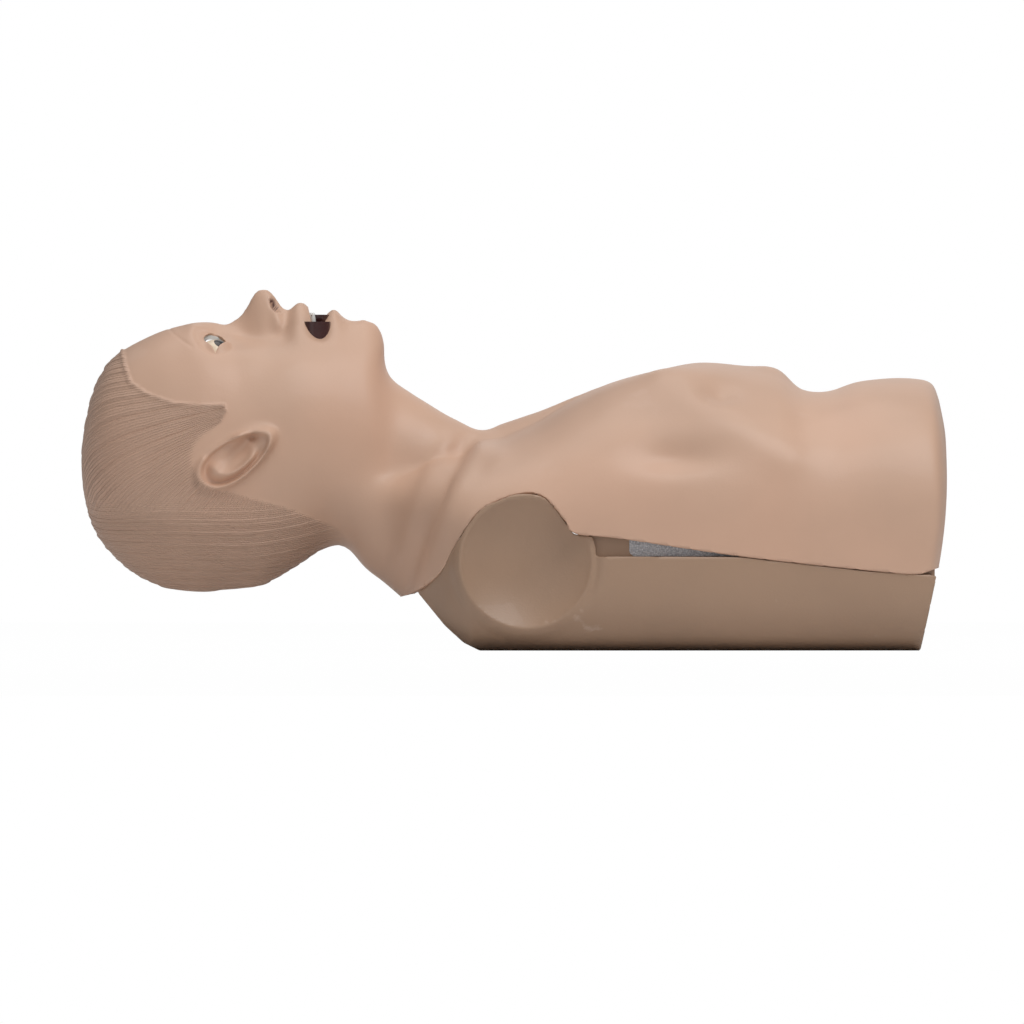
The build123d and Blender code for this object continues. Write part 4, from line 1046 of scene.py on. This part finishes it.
class MANIKIN_OT_skin(bpy.types.Operator):
    """Build the soft skin of the head, neck and chest"""

    bl_idname = "manikin.skin"
    bl_label = "Skin"

    def execute(self, context):
        sizes = context.scene.manikin_skin
        wall = sizes.wall / MM
        skin = whole_skin(sizes)
        whole_co, whole_no = points_of(skin.data), normals_of(skin.data)
        tree = KDTree(len(whole_co))
        for k, point in enumerate(whole_co):
            tree.insert(point, k)
        tree.balance()
        head, chest = split_skin(skin)
        change = head.modifiers.new("Finer", "SUBSURF")
        change.subdivision_type = "SIMPLE"
        change.levels = change.render_levels = 1
        made_plain(head)
        smooth_shaded(head)
        co = points_of(head.data)
        inner = smooth_step((seam_value(co) - 1.5) / 3.0)
        free = inner * smooth_step((hem_value(co) - 1.5) / 3.0)
        co = relax(head.data, co, 0.5 * free, 3)
        set_points(head.data, co)
        for press in (press_face, press_ears):
            co = press(co, normals_of(head.data))
            set_points(head.data, co)
        co = relax(head.data, co, 0.35 * free, 2)
        set_points(head.data, co)
        co = press_hair(co, normals_of(head.data), sizes.hair_depth)
        set_points(head.data, co)
        x, y, z = points_of(head.data).T
        side = np.abs(y)
        lids = np.abs(x - EYE[0]) - EYE_GAP * (1 - ((side - EYE[1]) / EYE_HALF_WIDTH) ** 2)
        lids = np.where((z > FACE_Z) & (side < 60), np.clip(lids, -3, 6), 6)
        keep_where(head, lids)
        x, y, z = points_of(head.data).T
        lips = np.where(z > FACE_Z, np.clip((mouth_reach(x, y) - 1) * MOUTH_GAP, -3, 6), 6)
        keep_where(head, lips)
        turn_in_edges(
            head,
            lambda p: p.z > 200 and abs(abs(p.y) - EYE[1]) < 20 and abs(p.x - EYE[0]) < 14,
            LID_EDGE,
        )
        turn_in_edges(
            head,
            lambda p: p.z > FACE_Z and abs(p.y) < 30 and -170 < p.x < -138,
            LIP_EDGE,
        )
        hem = [(0.5, -0.25), (1.4, -0.6), (wall - 1.0, -0.6), (wall, 0.0), (wall, 4.0)]
        for piece in (head, chest):
            turn_in_edges(
                piece,
                lambda p: abs(seam_value(np.array([p]))[0]) > 0.4 and p.z < 190,
                hem,
            )
            smooth_shaded(piece)
            add_fields(piece)
            dress(piece, "skin_vinyl")
            match_normals(piece, tree, whole_no)
        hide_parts("head_skin")
        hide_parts("chest_skin")
        along = Vector((SEAM_TOP[0] - SEAM_TIP[0], 0, SEAM_TOP[1] - SEAM_TIP[1])).normalized()
        across = Vector((-along.z, 0, along.x))
        middle = Vector(((SEAM_TOP[0] + SEAM_TIP[0]) / 2, 0, (SEAM_TOP[1] + SEAM_TIP[1]) / 2))
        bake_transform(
            head,
            "torso",
            "head",
            start=tuple((middle + across * 3) * MM),
            end=tuple((middle + across * 50) * MM),
        )
        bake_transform(chest, "torso", "chest", start=(0.148, 0, 0.203), end=(0.146, 0, 0.224))
        return {"FINISHED"}


def socket_depth(co):
    """Press the arm socket's dish into the side of the base."""
    x, y, z = co.T
    r = np.hypot(x - SOCKET[0], z - SOCKET[1])
    ball = (SOCKET_R**2 / SOCKET_DEPTH + SOCKET_DEPTH) / 2
    drop = np.sqrt(np.maximum(ball**2 - np.minimum(r, SOCKET_R) ** 2, 0))
    bowl = SOCKET_FACE_Y - SOCKET_DEPTH + ball - drop
    body = np.abs(y)
    lip = SOCKET_FACE_Y + SOCKET_LIP * hill(r - SOCKET_R - 1.5, 2.0)
    share = smooth_step((r - SOCKET_R - 1.5) / SOCKET_FLARE)
    outer = lip * (1 - share) + body * share
    target = np.where(r < SOCKET_R, bowl, outer)
    facing = smooth_step((body - 100) / 25)
    return np.column_stack([x, np.sign(y) * (body + (target - body) * facing), z])


def base_value(co):
    """Above zero inside the side view of the tray."""
    x, z = co[:, 0], co[:, 2]
    d_hem, side_hem = distance_to_path(x, z, rounded(TRAY_TOP, -89.5, 39.5))
    below = np.where(side_hem > 0, -d_hem, d_hem)
    d_front, side_front = distance_to_path(x, z, BASE_FRONT)
    above = np.where(side_front > 0, d_front, -d_front)
    end = side_of_line(co, (BASE_END[2], BASE_END[3]), (BASE_END[0], BASE_END[1]))
    return np.minimum(np.minimum(below, above), end)


class MANIKIN_OT_base(bpy.types.Operator):
    """Build the moulded base with its arm sockets and its recessed band"""

    bl_idname = "manikin.base"
    bl_label = "Base"

    def execute(self, context):
        xs = np.r_[np.arange(-80, -20, 1.5), np.arange(-20, 66, 1.6), np.arange(66, 332, 4.0)]
        tray = lofted("tray", xs, lambda x, angles: torso_ring(x, angles, 1.0))
        set_points(tray.data, socket_depth(points_of(tray.data)))
        keep_where(tray, base_value(points_of(tray.data)))
        turn_in_edges(tray, lambda p: True, BASE_EDGE, level=True)
        band_x = np.arange(56, 330, 5.0)
        band = lofted("band", band_x, lambda x, angles: torso_ring(x, angles, BAND_INSET))
        z = points_of(band.data)[:, 2]
        keep_where(band, np.minimum(BAND_TOP_Z - z, z - (LEDGE_Z - BAND_BELOW)))
        bm = bmesh.new()
        bm.from_mesh(tray.data)
        bm.from_mesh(band.data)
        bm.to_mesh(tray.data)
        bm.free()
        bpy.data.objects.remove(band)
        tray.name = "base_cover"
        smooth_shaded(tray)
        dress(tray, "base_plastic")
        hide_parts("torso_base")
        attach(tray, "torso")
        return {"FINISHED"}


class MANIKIN_OT_eyes(bpy.types.Operator):
    """Build the eyes"""

    bl_idname = "manikin.eyes"
    bl_label = "Eyes"

    def execute(self, context):
        for side, name in ((-1, "right"), (1, "left")):
            ball = spheroid(f"eyeball_{name}", (EYE[0], side * EYE[1], EYE[2]), (EYE_R, EYE_R, EYE_R), 0.0)
            smooth_shaded(ball)
            dress(ball, "eye_white")
            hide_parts(f"eye_{name}")
            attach(ball, "head")
        return {"FINISHED"}


class MANIKIN_OT_mouth(bpy.types.Operator):
    """Build the inside of the mouth and its upper teeth"""

    bl_idname = "manikin.mouth"
    bl_label = "Mouth"

    def execute(self, context):
        hollow = spheroid("mouth_hollow", (MOUTH[0] + HOLLOW_X, 0, HOLLOW_Z), HOLLOW_RADII, 0.0)
        keep_where(hollow, HOLLOW_Z - points_of(hollow.data)[:, 2])
        smooth_shaded(hollow)
        dress(hollow, "mouth_red")
        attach(hollow, "head")
        bm = bmesh.new()
        for k in range(TEETH):
            y = (k - (TEETH - 1) / 2) * TOOTH_STEP
            x = TOOTH_X + TOOTH_BOW * (y / TOOTH_BOW_Y) ** 2
            tooth = spheroid("tooth", (x, y, TOOTH_Z), TOOTH_RADII, 0.0)
            bm.from_mesh(tooth.data)
            bpy.data.objects.remove(tooth)
        teeth = object_from(bm, "teeth")
        smooth_shaded(teeth)
        dress(teeth, "tooth_white")
        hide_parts("upper_teeth")
        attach(teeth, "head")
        return {"FINISHED"}


class MANIKIN_OT_inner(bpy.types.Operator):
    """Give the carried pieces their finishes"""

    bl_idname = "manikin.inner"
    bl_label = "Inner pieces"

    def execute(self, context):
        for part in frame["record"]["subparts"]:
            obj = frame["nodes"][part["node"]]
            dress(obj, part["material_slot"])
        return {"FINISHED"}


class MANIKIN_OT_stage(bpy.types.Operator):
    """Set up the floor, the light and the camera"""

    bl_idname = "manikin.stage"
    bl_label = "Stage"

    def execute(self, context):
        scene = context.scene
        sizes = scene.manikin_stage
        scene.view_settings.view_transform = "Standard"
        bm = bmesh.new()
        bmesh.ops.create_grid(bm, x_segments=2, y_segments=2, size=6.0)
        floor = object_from(bm, "floor")
        pale = bpy.data.materials.new("pale_floor")
        pale.use_nodes = True
        tree = pale.node_tree
        shader = tree.nodes["Principled BSDF"]
        shader.inputs["Base Color"].default_value = (0.8, 0.8, 0.8, 1)
        shader.inputs["Roughness"].default_value = 0.9
        path = tree.nodes.new("ShaderNodeLightPath")
        glow = tree.nodes.new("ShaderNodeEmission")
        mix = tree.nodes.new("ShaderNodeMixShader")
        share = tree.nodes.new("ShaderNodeMath")
        share.operation = "MULTIPLY"
        share.inputs[1].default_value = 0.99
        tree.links.new(path.outputs["Is Camera Ray"], share.inputs[0])
        tree.links.new(share.outputs[0], mix.inputs[0])
        tree.links.new(shader.outputs[0], mix.inputs[1])
        tree.links.new(glow.outputs[0], mix.inputs[2])
        tree.links.new(mix.outputs[0], tree.nodes["Material Output"].inputs["Surface"])
        floor.data.materials.append(pale)

        world = bpy.data.worlds.new("studio")
        scene.world = world
        world.use_nodes = True
        tree = world.node_tree
        sky = tree.nodes["Background"]
        white = tree.nodes.new("ShaderNodeBackground")
        white.inputs[0].default_value = (1, 1, 1, 1)
        sky.inputs[0].default_value = (0.93, 0.96, 1.0, 1)
        sky.inputs[1].default_value = 0.25
        path = tree.nodes.new("ShaderNodeLightPath")
        seen = tree.nodes.new("ShaderNodeMath")
        seen.operation = "MAXIMUM"
        mix = tree.nodes.new("ShaderNodeMixShader")
        tree.links.new(path.outputs["Is Camera Ray"], seen.inputs[0])
        tree.links.new(path.outputs["Is Transmission Ray"], seen.inputs[1])
        tree.links.new(seen.outputs[0], mix.inputs[0])
        tree.links.new(sky.outputs[0], mix.inputs[1])
        tree.links.new(white.outputs[0], mix.inputs[2])
        tree.links.new(mix.outputs[0], tree.nodes["World Output"].inputs["Surface"])

        target = Vector((0.02, 0, 0.12))
        for name, place, size, share in LAMPS:
            light = bpy.data.lights.new(name, "AREA")
            light.shape, light.size, light.energy = "SQUARE", size, sizes.key_power * share
            lamp = bpy.data.objects.new(name, light)
            lamp.location = place
            lamp.rotation_euler = (target - Vector(place)).to_track_quat("-Z", "Y").to_euler()
            scene.collection.objects.link(lamp)

        camera = bpy.data.cameras.new("camera")
        camera.sensor_width = 36.0
        camera.lens = camera.sensor_width * sizes.camera_distance / sizes.view_width
        camera.clip_end = 50.0
        eye = bpy.data.objects.new("camera", camera)
        eye.location = (-0.00195, -sizes.camera_distance, 0.1076)
        eye.rotation_euler = (math.pi / 2, 0, 0)
        scene.collection.objects.link(eye)
        scene.camera = eye
        return {"FINISHED"}


class MANIKIN_PT_panel(bpy.types.Panel):
    """Lists the sizes and the steps"""

    bl_idname = "MANIKIN_PT_panel"
    bl_label = "CPR training manikin"
    bl_space_type = "VIEW_3D"
    bl_region_type = "UI"
    bl_category = "Manikin"

    def draw(self, context):
        layout = self.layout
        for group, names in (
            (context.scene.manikin_skin, SkinSizes.__annotations__),
            (context.scene.manikin_stage, StageSizes.__annotations__),
        ):
            for name in names:
                layout.prop(group, name)
        for operator in OPERATORS:
            layout.operator(operator.bl_idname)


OPERATORS = (
    MANIKIN_OT_inner,
    MANIKIN_OT_skin,
    MANIKIN_OT_base,
    MANIKIN_OT_eyes,
    MANIKIN_OT_mouth,
    MANIKIN_OT_stage,
)
CLASSES = (SkinSizes, StageSizes, *OPERATORS, MANIKIN_PT_panel)


def register():
    for cls in CLASSES:
        bpy.utils.register_class(cls)
    bpy.types.Scene.manikin_skin = PointerProperty(type=SkinSizes)
    bpy.types.Scene.manikin_stage = PointerProperty(type=StageSizes)


def unregister():
    del bpy.types.Scene.manikin_stage
    del bpy.types.Scene.manikin_skin
    for cls in reversed(CLASSES):
        bpy.utils.unregister_class(cls)


def main():
    """Build every piece in order."""
    register()
    make_finishes()
    for operator in OPERATORS:
        group, name = operator.bl_idname.split(".")
        getattr(getattr(bpy.ops, group), name)()


if __name__ == "__main__":
    main()
